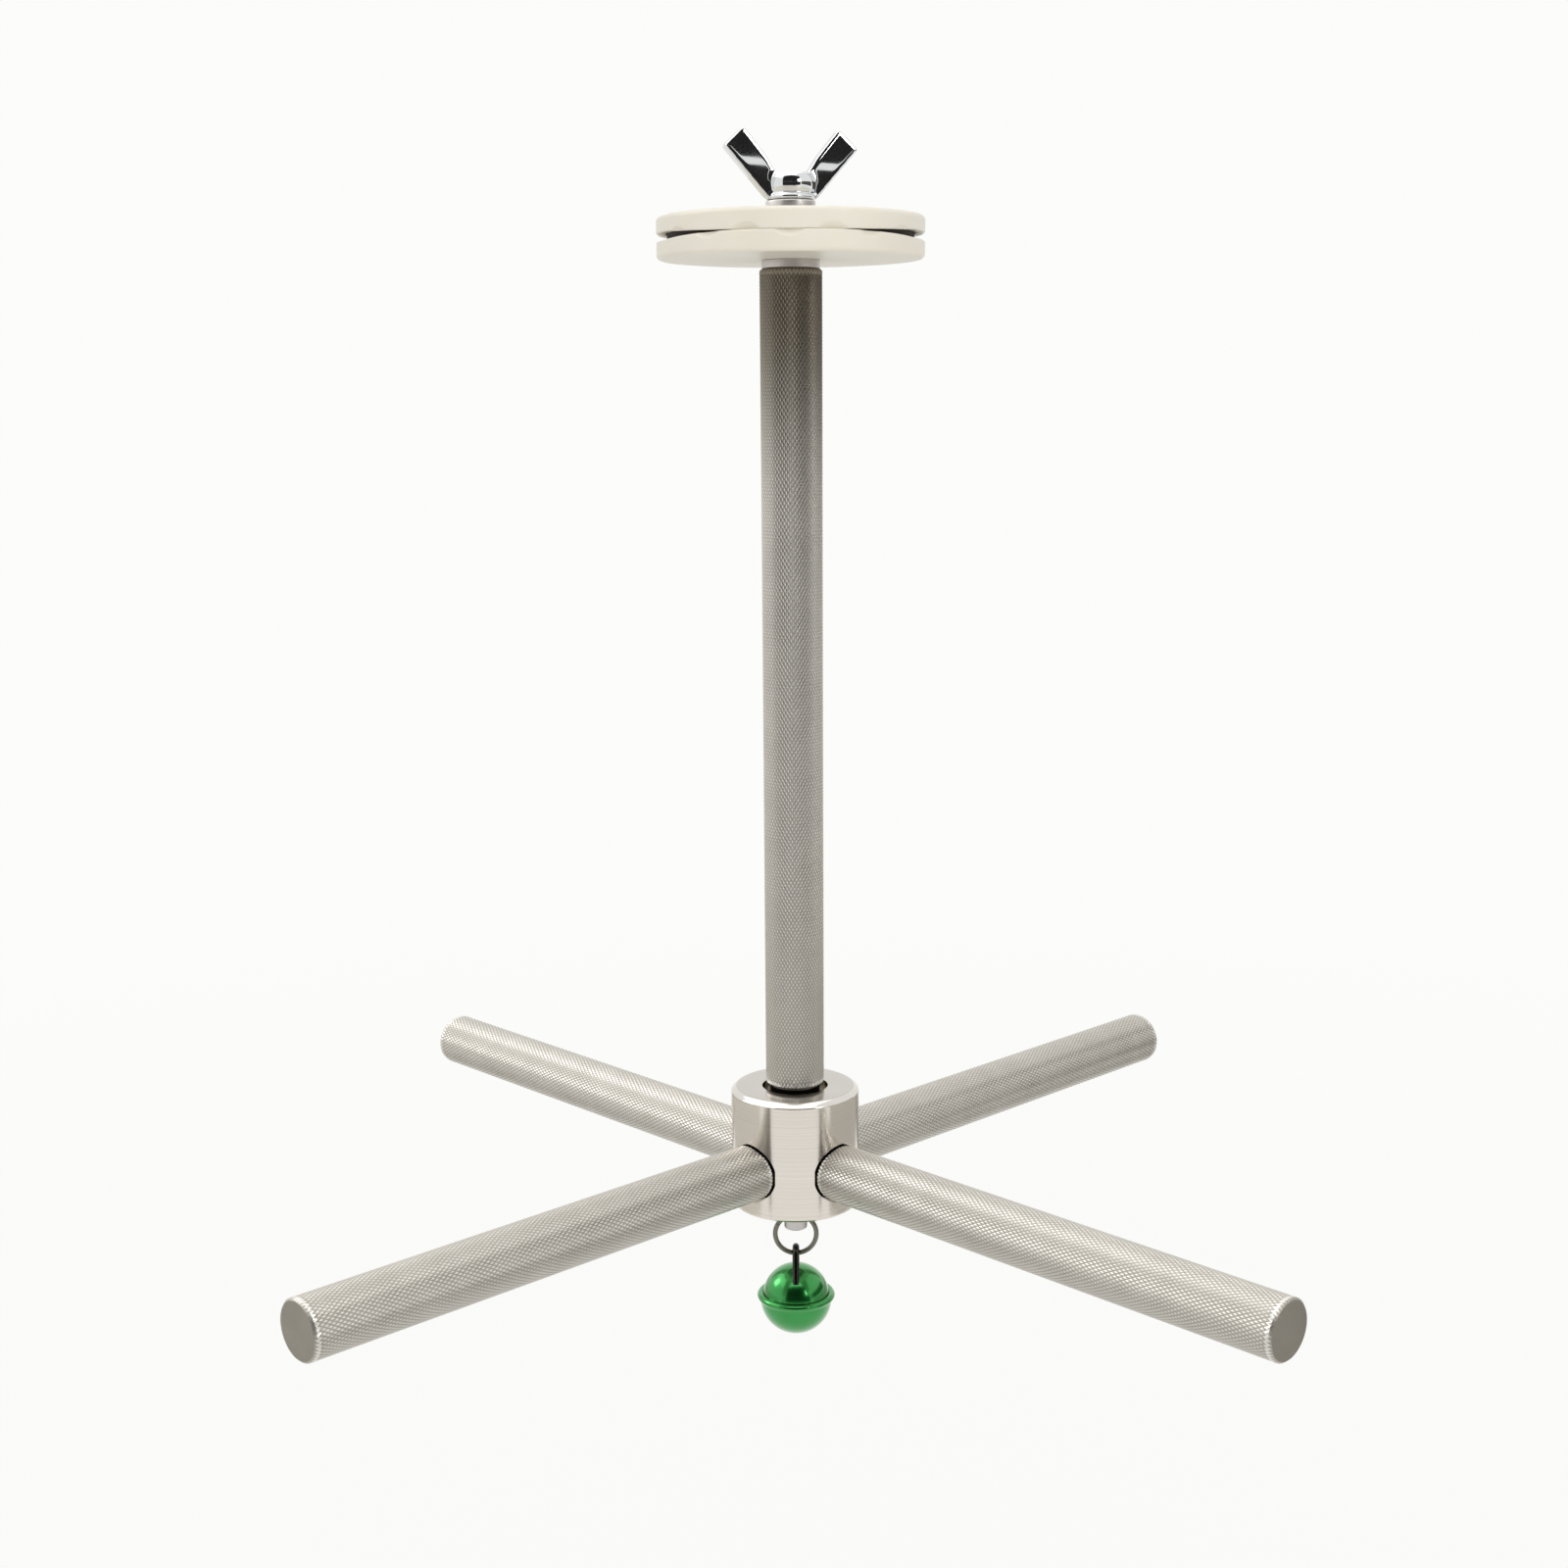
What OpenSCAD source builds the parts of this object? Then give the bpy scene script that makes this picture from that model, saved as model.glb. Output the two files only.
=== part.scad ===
// Hanging bird perch: two plastic discs clamp the wires of a cage roof, a knurled post
// hangs from them, and a hub with four knurled arms turns freely on the post's lower end.
// A small bell hangs from a ring under the hub.
// Origin: on the post's axis, in the plane where the two discs' rims meet. +Z is up.

/* [Clamp discs] */
// Outer diameter of each clamp disc
disc_d = 52; // [44:0.5:60]
// Thickness of each disc
disc_t = 4; // [3:0.1:6]
// Radius of the rounded edge on each disc's outer face
disc_edge = 0.9; // [0.4:0.1:1.2]
// Radius of the rounded edge where the two rims meet
lip_edge = 0.4; // [0.2:0.1:0.6]
// Hole through each disc for the stud
disc_bore_d = 6.4; // [6.2:0.1:7.5]
// Width of the lip round the rubber pad
lip_w = 1.9; // [1.5:0.1:4]
// Thickness of each rubber pad
pad_t = 1.2; // [0.8:0.1:1.8]
// How far the lip round the pad is lowered at its left and right sides
lip_relief = 0.72; // [0.3:0.02:0.78]
// Distance from the rim's foremost point to where that relief starts
relief_margin = 2.1; // [1:0.1:4]
// Front to back length of each of the relief's two ramps
relief_ramp = 13.5; // [6:0.5:18]
// Number of finger dimples round each disc's rim
dimple_count = 10; // [4:1:12]
// Width of a dimple along the rim's corner
dimple_w = 7.3; // [4:0.1:8]
// Height of a dimple down the rim
dimple_h = 1.3; // [0.6:0.1:1.8]
// Depth of a dimple into the lip
dimple_depth = 0.9; // [0.4:0.1:1.2]

/* [Clamp fasteners] */
// Diameter of the threaded studs and of the pivot pin
stud_d = 6; // [5:0.1:6]
// Length of stud held in the post's upper end
stud_grip = 12; // [8:1:20]
// How far the stud stops short of the nut's upper face
stud_recess = 0.6; // [0.2:0.1:1.5]
// Outer diameter of the spring washer
spring_washer_d = 9.6; // [9:0.1:11]
// Thickness of the spring washer
spring_washer_t = 1.4; // [1:0.1:2]
// Width of the spring washer's split
spring_washer_split = 0.6; // [0.3:0.1:1]
// Outer diameter of the two flat washers outside the discs
flat_washer_d = 11.3; // [10:0.1:12]
// Thickness of the flat washers
flat_washer_t = 1.6; // [1:0.1:2]
// Outer diameter of the wing nut's boss
boss_d = 9.4; // [9:0.1:11]
// Height of the wing nut's boss
boss_h = 5.2; // [5:0.1:7]
// Radius of the boss's rounded upper edge
boss_edge = 1.4; // [0.5:0.1:1.5]
// Thickness of a wing
wing_t = 2; // [1.5:0.1:2.8]
// Half of the wing nut's span
wing_reach = 13.4; // [12:0.1:16]
// Height of a wing's outer corner above the nut's lower face
wing_shoulder_h = 9.6; // [9:0.1:12]
// Distance from the axis to a wing's upper corner
wing_top_x = 9.6; // [8.5:0.1:10.5]
// Height of a wing's upper corner above the nut's lower face
wing_top_h = 13.1; // [12.5:0.1:16]
// Distance from the axis to the crook between a wing and the boss
wing_crook_x = 3.4; // [3:0.1:4]
// Angle of the wings from left-right
wing_turn = 20; // [0:1:90]

/* [Post and arms] */
// Outer diameter of the post, over its knurl
post_d = 12.3; // [11:0.1:14]
// Length of the post with its plain lower end
post_l = 169.4; // [90:0.1:260]
// Diameter of the plain lower end, which stands in the hub's cup
post_end_d = 10.4; // [9:0.1:11]
// Height of the knurl's lower end above the hub's upper face
knurl_rise = 0.6; // [0.2:0.1:3]
// Outer diameter of each arm, over its knurl
arm_d = 12; // [11:0.1:12.4]
// Distance from the axis to an arm's end face
arm_reach = 122; // [70:1:180]
// Length of the chamfer on the bar ends
bar_chamfer = 0.5; // [0.3:0.1:1.2]
// Length of each stud that holds an arm
arm_stud_l = 18; // [14:1:24]
// Depth of the drill tip beyond a stud's end in a tapped hole
tap_extra = 1.5; // [0.5:0.5:4]

/* [Hub] */
// Outer diameter of the hub
hub_d = 27; // [26:0.5:34]
// Height of the hub
hub_h = 26; // [24.6:0.2:34]
// Height of the arms' axes above the hub's base
arm_level = 9.6; // [9.2:0.1:12]
// Width of the bright chamfer round the hub's upper edge
hub_chamfer = 1.1; // [0.4:0.1:1.5]
// Width of the chamfer round the hub's lower edge
hub_base_chamfer = 0.5; // [0.2:0.1:1]
// Diameter of the cup in the hub's upper face
cup_d = 13.8; // [12.6:0.1:16]
// Depth of that cup
cup_depth = 4.5; // [3:0.1:6]
// Diameter of the well in the hub's base
well_d = 12.6; // [12.2:0.1:13]
// Depth of that well
well_depth = 3.6; // [3.5:0.1:4]
// Distance from the axis to the flat seat of each arm
socket_floor_r = 12; // [10:0.1:12]
// Radial gap round an arm in its socket
socket_gap = 0.15; // [0.05:0.05:0.3]
// Bore through the hub between its two bushes
core_bore_d = 6.6; // [6.3:0.1:7]

/* [Pivot] */
// Outer diameter of the bushes' sleeves
bush_d = 8; // [7.4:0.1:9]
// Diameter of the bushes' flanges
bush_flange_d = 11.8; // [10:0.1:12]
// Thickness of the bushes' flanges
bush_flange_t = 1.2; // [0.8:0.1:1.4]
// Length of the upper bush's sleeve
upper_sleeve_l = 6; // [4:0.5:7]
// Length of the lower bush's sleeve
lower_sleeve_l = 2.4; // [1.5:0.1:2.6]
// Length of pivot pin held in the post's lower end
pin_grip = 14; // [8:1:20]
// Outer diameter of the retaining washer
keeper_washer_d = 11.8; // [10:0.1:12]
// Thickness of the retaining washer
keeper_washer_t = 0.8; // [0.5:0.1:1]
// Thickness of the snap ring
snap_ring_t = 0.7; // [0.5:0.1:0.8]
// Width of the snap ring's band
snap_ring_band = 1.3; // [1:0.1:1.6]
// Depth of the snap ring's groove in the pin
snap_groove = 0.25; // [0.15:0.05:0.3]
// Diameter of the pin's turned end under the hub
stub_d = 5; // [4.5:0.1:5.2]
// Length of that end below the hub's base
stub_l = 6.3; // [6:0.1:8]
// Diameter of the cross hole for the ring
stub_hole_d = 2.4; // [2.2:0.1:2.6]
// Distance of the cross hole's centre above the pin's lower end
stub_hole_level = 2.6; // [2.4:0.1:3]

/* [Ring and bell] */
// Outer diameter of the ring that carries the bell
ring_d = 9.9; // [9.6:0.1:13]
// Diameter of the ring's wire
ring_wire = 1.05; // [0.8:0.05:1.2]
// Width of the hairline joint where the ring closes
ring_joint = 0.12; // [0.05:0.01:0.3]
// Diameter of the bell loop's wire
loop_wire = 1.5; // [1.2:0.1:1.8]
// Inner radius of the bell loop's crest
loop_inner_r = 0.95; // [0.9:0.05:1.3]
// Height of the loop's crest above the top of the dome
loop_rise = 4.7; // [3.6:0.1:6]
// Distance from the axis to the foot of each loop leg
loop_foot_y = 4.2; // [3.4:0.1:4.6]
// How far each loop leg reaches inside the dome
loop_tail = 1; // [0.5:0.1:2]
// Outer radius of the bell's dome
dome_r = 7.2; // [7:0.1:9]
// Outer radius of the bell's lower half
bowl_r = 7.7; // [7.5:0.1:9.6]
// Wall thickness of the bell
bell_wall = 0.5; // [0.3:0.05:0.8]
// How far the lower half's centre lies below the dome's centre
bowl_drop = 0.5; // [0.2:0.1:1]
// Outer radius of the crimped seam round the bell
seam_r = 8.4; // [8.2:0.1:10]
// Radius of the seam's rounded bead
seam_bead = 0.75; // [0.65:0.05:0.9]
// Width of the slot in the lower half
bell_slot_w = 1.6; // [1:0.1:2]
// Diameter of the holes at the slot's ends
slot_hole_d = 3; // [2.4:0.1:3.4]
// Angle from straight down to each slot hole
slot_angle = 52; // [40:1:60]
// Diameter of the loose ball in the bell
ball_d = 4; // [3.6:0.1:5]

/* [Clearances] */
// Radial gap between a threaded or running pin and its hole
pin_gap = 0.05; // [0.02:0.01:0.09]
// Radial gap round a pad in its pocket
pad_gap = 0.2; // [0.05:0.05:0.4]
// Play along the pivot
pivot_play = 0.1; // [0.05:0.05:0.2]
// Gap between pieces that hang on one another
hang_gap = 0.05; // [0.02:0.01:0.1]

/* [Hidden] */
$fn = 96;

// Overshoot of cutting shapes past the faces that they open
over = 1;
pocket_d = disc_d - 2 * lip_w;
pad_d = pocket_d - 2 * pad_gap;
relief_mouth_y = disc_d / 2 - relief_margin;
relief_floor_y = relief_mouth_y - relief_ramp;
// A ball cuts each dimple out of the rim's corner: its centre lies this far out and this
// far above that corner
dimple_out = (pow(dimple_w / 2, 2) - pow(dimple_depth, 2)) / (2 * dimple_depth);
dimple_up = (pow(dimple_w / 2, 2) - pow(dimple_h, 2)) / (2 * dimple_h);
dimple_r = norm([dimple_out, dimple_up, dimple_w / 2]);
// Heights in the clamp, from the plane where the rims meet
spring_washer_z = disc_t + flat_washer_t;
nut_base_z = spring_washer_z + spring_washer_t;
boss_top_z = nut_base_z + boss_h;
stud_top_z = boss_top_z - stud_recess;
post_top_z = -disc_t - flat_washer_t;
post_base_z = post_top_z - post_l;
// Heights in the hub
cup_floor_z = post_base_z - pivot_play - bush_flange_t;
hub_top_z = cup_floor_z + cup_depth;
knurl_base_z = hub_top_z + knurl_rise;
hub_base_z = hub_top_z - hub_h;
arm_z = hub_base_z + arm_level;
well_roof_z = hub_base_z + well_depth;
keeper_top_z = well_roof_z - bush_flange_t - hang_gap;
snap_top_z = keeper_top_z - keeper_washer_t;
snap_base_z = snap_top_z - snap_ring_t;
// The pin's full-width shoulder under the snap ring
snap_shoulder_l = 0.5;
groove_d = stud_d - 2 * snap_groove;
snap_ring_r = groove_d / 2 + snap_ring_band;
// The eyes stand beside the snap ring's gap
eye_r = 1.1;
eye_hole_d = 0.9;
eye_x = snap_ring_r - 0.2;
eye_y = 1.7;
snap_gap_w = 2 * (eye_y - eye_r) + 0.2;
socket_d = arm_d + 2 * socket_gap;
tap_d = stud_d + 2 * pin_gap;
// Small chamfer on the ends of the studs and of the pin
stud_chamfer = 0.4;
// Metal left between the hub's bore and the inner end of each arm stud
arm_stud_setback = 0.8;
arm_stud_start = core_bore_d / 2 + arm_stud_setback;
arm_stud_end = arm_stud_start + arm_stud_l;
// The arms stand square to each other, on the diagonals between X and Y
arm_count = 4;
arm_first_angle = 45;
arm_step = 360 / arm_count;
// The ring hangs on the lower lips of the pin's cross hole
stub_base_z = hub_base_z - stub_l;
stub_hole_z = stub_base_z + stub_hole_level;
ring_r = (ring_d - ring_wire) / 2;
ring_inner_r = ring_r - ring_wire / 2;
ring_z = stub_hole_z - stub_hole_d / 2 - sqrt(pow(ring_inner_r, 2) - pow(stub_d / 2, 2)) + hang_gap;
// The loop hangs on the lowest point of the ring
ring_seat_z = ring_z - ring_inner_r;
loop_r = loop_inner_r + loop_wire / 2;
loop_z = ring_seat_z + hang_gap - loop_inner_r;
dome_top_z = loop_z + loop_r + loop_wire / 2 - loop_rise;
dome_z = dome_top_z - dome_r;
bowl_z = dome_z - bowl_drop;
foot_z = dome_z + sqrt(pow(dome_r, 2) - pow(loop_foot_y, 2));
// Each leg runs from the loop's crest to its foot, tangent to the crest's arc
foot_run = norm([loop_foot_y, foot_z - loop_z]);
leg_run = sqrt(pow(foot_run, 2) - pow(loop_r, 2));
loop_splay = acos(loop_r / foot_run) + atan2(foot_z - loop_z, loop_foot_y);
leg_l = leg_run + loop_tail + bell_wall;
// Heights of the slot's flat end in the lower half
slot_top_z = bowl_z - bowl_r * cos(slot_angle) + slot_hole_d / 2 * sin(slot_angle);
ball_z = bowl_z - (bowl_r - bell_wall - ball_d / 2 - hang_gap);

// A disc with its lower face at z = 0 and its edges rounded
module rounded_plate(d, t, base_edge, top_edge) {
    cylinder(d = d - 2 * base_edge, h = t / 2);
    translate([0, 0, base_edge]) cylinder(d = d, h = t - base_edge - top_edge);
    translate([0, 0, t / 2]) cylinder(d = d - 2 * top_edge, h = t / 2);
    rounded_edge(d, base_edge, base_edge);
    rounded_edge(d, top_edge, t - top_edge);
}

// A ring whose round section makes a rounded edge of the given radius, centred at height z
module rounded_edge(d, edge, z) {
    translate([0, 0, z]) rotate_extrude() translate([d / 2 - edge, 0]) circle(r = edge, $fn = 32);
}

// A bar along Z with chamfered ends, its base at z = 0
module chamfered_bar(d, l, base_chamfer, top_chamfer) {
    cylinder(d1 = d - 2 * base_chamfer, d2 = d, h = base_chamfer);
    translate([0, 0, base_chamfer]) cylinder(d = d, h = l - base_chamfer - top_chamfer);
    translate([0, 0, l - top_chamfer]) cylinder(d1 = d, d2 = d - 2 * top_chamfer, h = top_chamfer);
}

// A washer with its lower face at z = 0
module washer(outer_d, inner_d, t) {
    difference() {
        cylinder(d = outer_d, h = t);
        translate([0, 0, -over]) cylinder(d = inner_d, h = t + 2 * over);
    }
}

// One disc as moulded: lower face at z = 0, pad pocket and lip at the top face
module clamp_disc(first_dimple) {
    difference() {
        rounded_plate(disc_d, disc_t, disc_edge, lip_edge);
        translate([0, 0, -over]) cylinder(d = disc_bore_d, h = disc_t + 2 * over);
        translate([0, 0, disc_t - pad_t]) cylinder(d = pocket_d, h = pad_t + over);
        lip_relief_cut();
        for (i = [0 : dimple_count - 1])
            rotate([0, 0, first_dimple + i * 360 / dimple_count])
                translate([disc_d / 2 + dimple_out, 0, disc_t + dimple_up]) sphere(r = dimple_r);
    }
}

// The trough across the lip, deepest at the left and right sides
module lip_relief_cut() {
    translate([-disc_d / 2 - over, 0, disc_t])
        rotate([90, 0, 90])
            linear_extrude(height = disc_d + 2 * over)
                polygon([[-relief_mouth_y, 0], [-relief_floor_y, -lip_relief],
                         [relief_floor_y, -lip_relief], [relief_mouth_y, 0],
                         [relief_mouth_y, over], [-relief_mouth_y, over]]);
}

module lower_disc() {
    color("#E9E0CC") translate([0, 0, -disc_t]) clamp_disc(-90);
}

// The upper disc is the same moulding turned over, with its dimples between the lower one's
module upper_disc() {
    color("#E9E0CC")
        translate([0, 0, disc_t]) rotate([180, 0, 0]) clamp_disc(90 + 180 / dimple_count);
}

module lower_pad() {
    color("#3A2F2A") translate([0, 0, -pad_t]) washer(pad_d, disc_bore_d, pad_t);
}

module upper_pad() {
    color("#3A2F2A") washer(pad_d, disc_bore_d, pad_t);
}

module neck_washer() {
    color("#B5ADA4") translate([0, 0, post_top_z]) washer(flat_washer_d, disc_bore_d, flat_washer_t);
}

module top_washer() {
    color("#B5ADA4") translate([0, 0, disc_t]) washer(flat_washer_d, disc_bore_d, flat_washer_t);
}

module spring_washer() {
    color("#C9C9CB") translate([0, 0, spring_washer_z])
        difference() {
            washer(spring_washer_d, tap_d, spring_washer_t);
            rotate([25, 0, 0])
                translate([0, -spring_washer_split / 2, -spring_washer_t])
                    cube([spring_washer_d, spring_washer_split, 4 * spring_washer_t]);
        }
}

// Wing nut: a round boss between two flat wings that were cut from one profile
module wing_nut() {
    color("#CFD2D6") translate([0, 0, nut_base_z]) rotate([0, 0, wing_turn])
        difference() {
            union() {
                cylinder(d = boss_d, h = boss_h - boss_edge);
                cylinder(d = boss_d - 2 * boss_edge, h = boss_h);
                rounded_edge(boss_d, boss_edge, boss_h - boss_edge);
                wing_blade();
                mirror([1, 0, 0]) wing_blade();
            }
            translate([0, 0, -over]) cylinder(d = tap_d, h = boss_h + 2 * over);
        }
}

module wing_blade() {
    translate([0, wing_t / 2, 0]) rotate([90, 0, 0])
        linear_extrude(height = wing_t)
            polygon([[0, 0], [boss_d / 2, 0], [wing_reach, wing_shoulder_h],
                     [wing_top_x, wing_top_h], [wing_crook_x, boss_h], [0, boss_h - boss_edge]]);
}

module top_stud() {
    color("#BDBBB8") translate([0, 0, post_top_z - stud_grip])
        chamfered_bar(stud_d, stud_top_z - post_top_z + stud_grip, stud_chamfer, stud_chamfer);
}

// The knurled bar ends just above the hub, and its plain turned end goes on into the cup
module post() {
    color("#C2BAB0")
        difference() {
            union() {
                translate([0, 0, knurl_base_z])
                    chamfered_bar(post_d, post_top_z - knurl_base_z, bar_chamfer, bar_chamfer);
                translate([0, 0, post_base_z])
                    cylinder(d = post_end_d, h = knurl_base_z + bar_chamfer - post_base_z);
            }
            translate([0, 0, post_top_z - stud_grip - tap_extra])
                cylinder(d = tap_d, h = stud_grip + tap_extra + over);
            translate([0, 0, post_base_z - over]) cylinder(d = tap_d, h = pin_grip + tap_extra + over);
        }
}

// Threaded into the post, plain through the hub, grooved for the snap ring, and turned
// down and cross drilled under the hub
module pivot_pin() {
    color("#B9B5B0")
        difference() {
            union() {
                translate([0, 0, snap_top_z]) cylinder(d = stud_d, h = post_base_z + pin_grip - snap_top_z);
                translate([0, 0, snap_base_z]) cylinder(d = groove_d, h = snap_ring_t);
                translate([0, 0, snap_base_z - snap_shoulder_l]) cylinder(d = stud_d, h = snap_shoulder_l);
                translate([0, 0, stub_base_z])
                    chamfered_bar(stub_d, snap_base_z - stub_base_z, stud_chamfer, stud_chamfer);
            }
            translate([-stub_d, 0, stub_hole_z]) rotate([0, 90, 0]) cylinder(d = stub_hole_d, h = 2 * stub_d);
        }
}

module keeper_washer() {
    color("#B5B5B5") translate([0, 0, snap_top_z]) washer(keeper_washer_d, tap_d, keeper_washer_t);
}

// An open spring clip with an eye on each side of its gap
module snap_ring() {
    color("#55524E") translate([0, 0, snap_base_z])
        difference() {
            union() {
                cylinder(r = snap_ring_r, h = snap_ring_t);
                for (s = [-1, 1]) translate([eye_x, s * eye_y, 0]) cylinder(r = eye_r, h = snap_ring_t);
            }
            translate([0, 0, -over]) cylinder(d = groove_d + 2 * pin_gap, h = snap_ring_t + 2 * over);
            translate([0, -snap_gap_w / 2, -over]) cube([well_d, snap_gap_w, snap_ring_t + 2 * over]);
            for (s = [-1, 1])
                translate([eye_x, s * eye_y, -over]) cylinder(d = eye_hole_d, h = snap_ring_t + 2 * over);
        }
}

// The four radial sockets and tapped holes share the arms' axes
module hub() {
    color("#C8C1B8")
        difference() {
            translate([0, 0, hub_base_z]) chamfered_bar(hub_d, hub_h, hub_base_chamfer, hub_chamfer);
            translate([0, 0, hub_base_z - over]) cylinder(d = core_bore_d, h = hub_h + 2 * over);
            translate([0, 0, cup_floor_z]) cylinder(d = cup_d, h = cup_depth + over);
            translate([0, 0, hub_base_z - over]) cylinder(d = well_d, h = well_depth + over);
            translate([0, 0, cup_floor_z - upper_sleeve_l]) cylinder(d = bush_d, h = upper_sleeve_l + over);
            translate([0, 0, well_roof_z - over]) cylinder(d = bush_d, h = lower_sleeve_l + over);
            for (i = [0 : arm_count - 1]) on_arm_axis(i) {
                translate([0, 0, socket_floor_r]) cylinder(d = socket_d, h = hub_d);
                cylinder(d = tap_d, h = socket_floor_r + over);
            }
        }
}

// Puts +Z along the axis of arm i
module on_arm_axis(i) {
    translate([0, 0, arm_z]) rotate([0, 90, arm_first_angle + i * arm_step]) children();
}

module flanged_bush(sleeve_l) {
    difference() {
        union() {
            cylinder(d = bush_flange_d, h = bush_flange_t);
            translate([0, 0, -sleeve_l]) cylinder(d = bush_d, h = sleeve_l + bush_flange_t);
        }
        translate([0, 0, -sleeve_l - over])
            cylinder(d = tap_d, h = sleeve_l + bush_flange_t + 2 * over);
    }
}

module upper_bush() {
    color("#F2EFE6") translate([0, 0, cup_floor_z]) flanged_bush(upper_sleeve_l);
}

module lower_bush() {
    color("#F2EFE6") translate([0, 0, well_roof_z]) mirror([0, 0, 1]) flanged_bush(lower_sleeve_l);
}

// The threaded stud that joins arm i to the hub
module arm_stud(i) {
    color("#BDBBB8") on_arm_axis(i) translate([0, 0, arm_stud_start])
        chamfered_bar(stud_d, arm_stud_l, stud_chamfer, stud_chamfer);
}

module stud_rear_right() { arm_stud(0); }
module stud_rear_left() { arm_stud(1); }
module stud_front_left() { arm_stud(2); }
module stud_front_right() { arm_stud(3); }

// One knurled arm: it stands on the flat seat in its socket and is tapped at that end
module arm(i) {
    color("#C2BAB0") on_arm_axis(i)
        difference() {
            translate([0, 0, socket_floor_r])
                chamfered_bar(arm_d, arm_reach - socket_floor_r, bar_chamfer, bar_chamfer);
            translate([0, 0, socket_floor_r - over])
                cylinder(d = tap_d, h = arm_stud_end + tap_extra - socket_floor_r + over);
        }
}

module arm_rear_right() { arm(0); }
module arm_rear_left() { arm(1); }
module arm_front_left() { arm(2); }
module arm_front_right() { arm(3); }

// A wire ring closed by a hairline joint at its upper left
module jump_ring() {
    joint_angle = 2 * asin(ring_joint / 2 / ring_r);
    color("#8F9084") translate([0, 0, ring_z]) rotate([90, 0, 0]) rotate([0, 0, 150])
        rotate_extrude(angle = 360 - joint_angle) translate([ring_r, 0]) circle(d = ring_wire, $fn = 32);
}

// A bent wire staple whose legs pass through the dome
module bell_loop() {
    color("#2E302F") translate([0, 0, loop_z]) rotate([90, 0, 90]) {
        rotate([0, 0, loop_splay])
            rotate_extrude(angle = 180 - 2 * loop_splay)
                translate([loop_r, 0]) circle(d = loop_wire, $fn = 32);
        loop_leg();
        mirror([1, 0, 0]) loop_leg();
    }
}

// A leg in the loop's own plane, starting where the crest's arc ends
module loop_leg() {
    rotate([0, 0, loop_splay]) translate([loop_r, 0, 0])
        rotate([90, 0, 0]) cylinder(d = loop_wire, h = leg_l, $fn = 32);
}

module leg_holes() {
    translate([0, 0, loop_z]) rotate([90, 0, 90])
        for (m = [0, 1]) mirror([m, 0, 0])
            rotate([0, 0, loop_splay]) translate([loop_r, 0, 0])
                rotate([90, 0, 0]) cylinder(d = loop_wire + 2 * pin_gap, h = leg_l + over, $fn = 32);
}

// Upper half of the bell: a pressed dome with a flat flange
module bell_dome() {
    color("#1F8A33")
        difference() {
            union() {
                translate([0, 0, dome_z]) sphere(r = dome_r);
                translate([0, 0, dome_z]) cylinder(r = seam_r - bell_wall, h = bell_wall);
            }
            translate([0, 0, dome_z]) sphere(r = dome_r - bell_wall);
            translate([0, 0, dome_z - 2 * dome_r]) cylinder(r = 2 * dome_r, h = 2 * dome_r);
            leg_holes();
        }
}

// Lower half: a pressed bowl whose edge is rolled over the dome's flange
module bell_bowl() {
    color("#1F8A33")
        difference() {
            union() {
                difference() {
                    translate([0, 0, bowl_z]) sphere(r = bowl_r);
                    translate([0, 0, dome_z - hang_gap]) cylinder(r = 2 * bowl_r, h = 2 * bowl_r);
                }
                difference() {
                    translate([0, 0, dome_z + bell_wall / 2])
                        rotate_extrude() translate([seam_r - seam_bead, 0]) circle(r = seam_bead, $fn = 32);
                    translate([0, 0, dome_z - hang_gap])
                        cylinder(r = seam_r - bell_wall + hang_gap, h = bell_wall + 2 * hang_gap);
                    translate([0, 0, dome_z]) cylinder(r = dome_r + hang_gap, h = dome_r);
                }
            }
            translate([0, 0, bowl_z]) sphere(r = bowl_r - bell_wall);
            translate([-bowl_r * sin(slot_angle), -bell_slot_w / 2, slot_top_z - bowl_r])
                cube([2 * bowl_r * sin(slot_angle), bell_slot_w, bowl_r]);
            for (s = [-1, 1])
                translate([0, 0, bowl_z]) rotate([0, 180 + s * slot_angle, 0])
                    cylinder(d = slot_hole_d, h = bowl_r + over);
        }
}

module bell_ball() {
    color("#B8B8B8") translate([0, 0, ball_z]) sphere(d = ball_d);
}

wing_nut();
spring_washer();
top_washer();
upper_disc();
upper_pad();
lower_pad();
lower_disc();
neck_washer();
top_stud();
post();
pivot_pin();
keeper_washer();
snap_ring();
hub();
upper_bush();
lower_bush();
stud_front_left();
stud_front_right();
stud_rear_left();
stud_rear_right();
arm_front_left();
arm_front_right();
arm_rear_left();
arm_rear_right();
jump_ring();
bell_loop();
bell_dome();
bell_bowl();
bell_ball();
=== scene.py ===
import math

import bmesh
import bpy
from mathutils import Matrix, Vector


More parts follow.
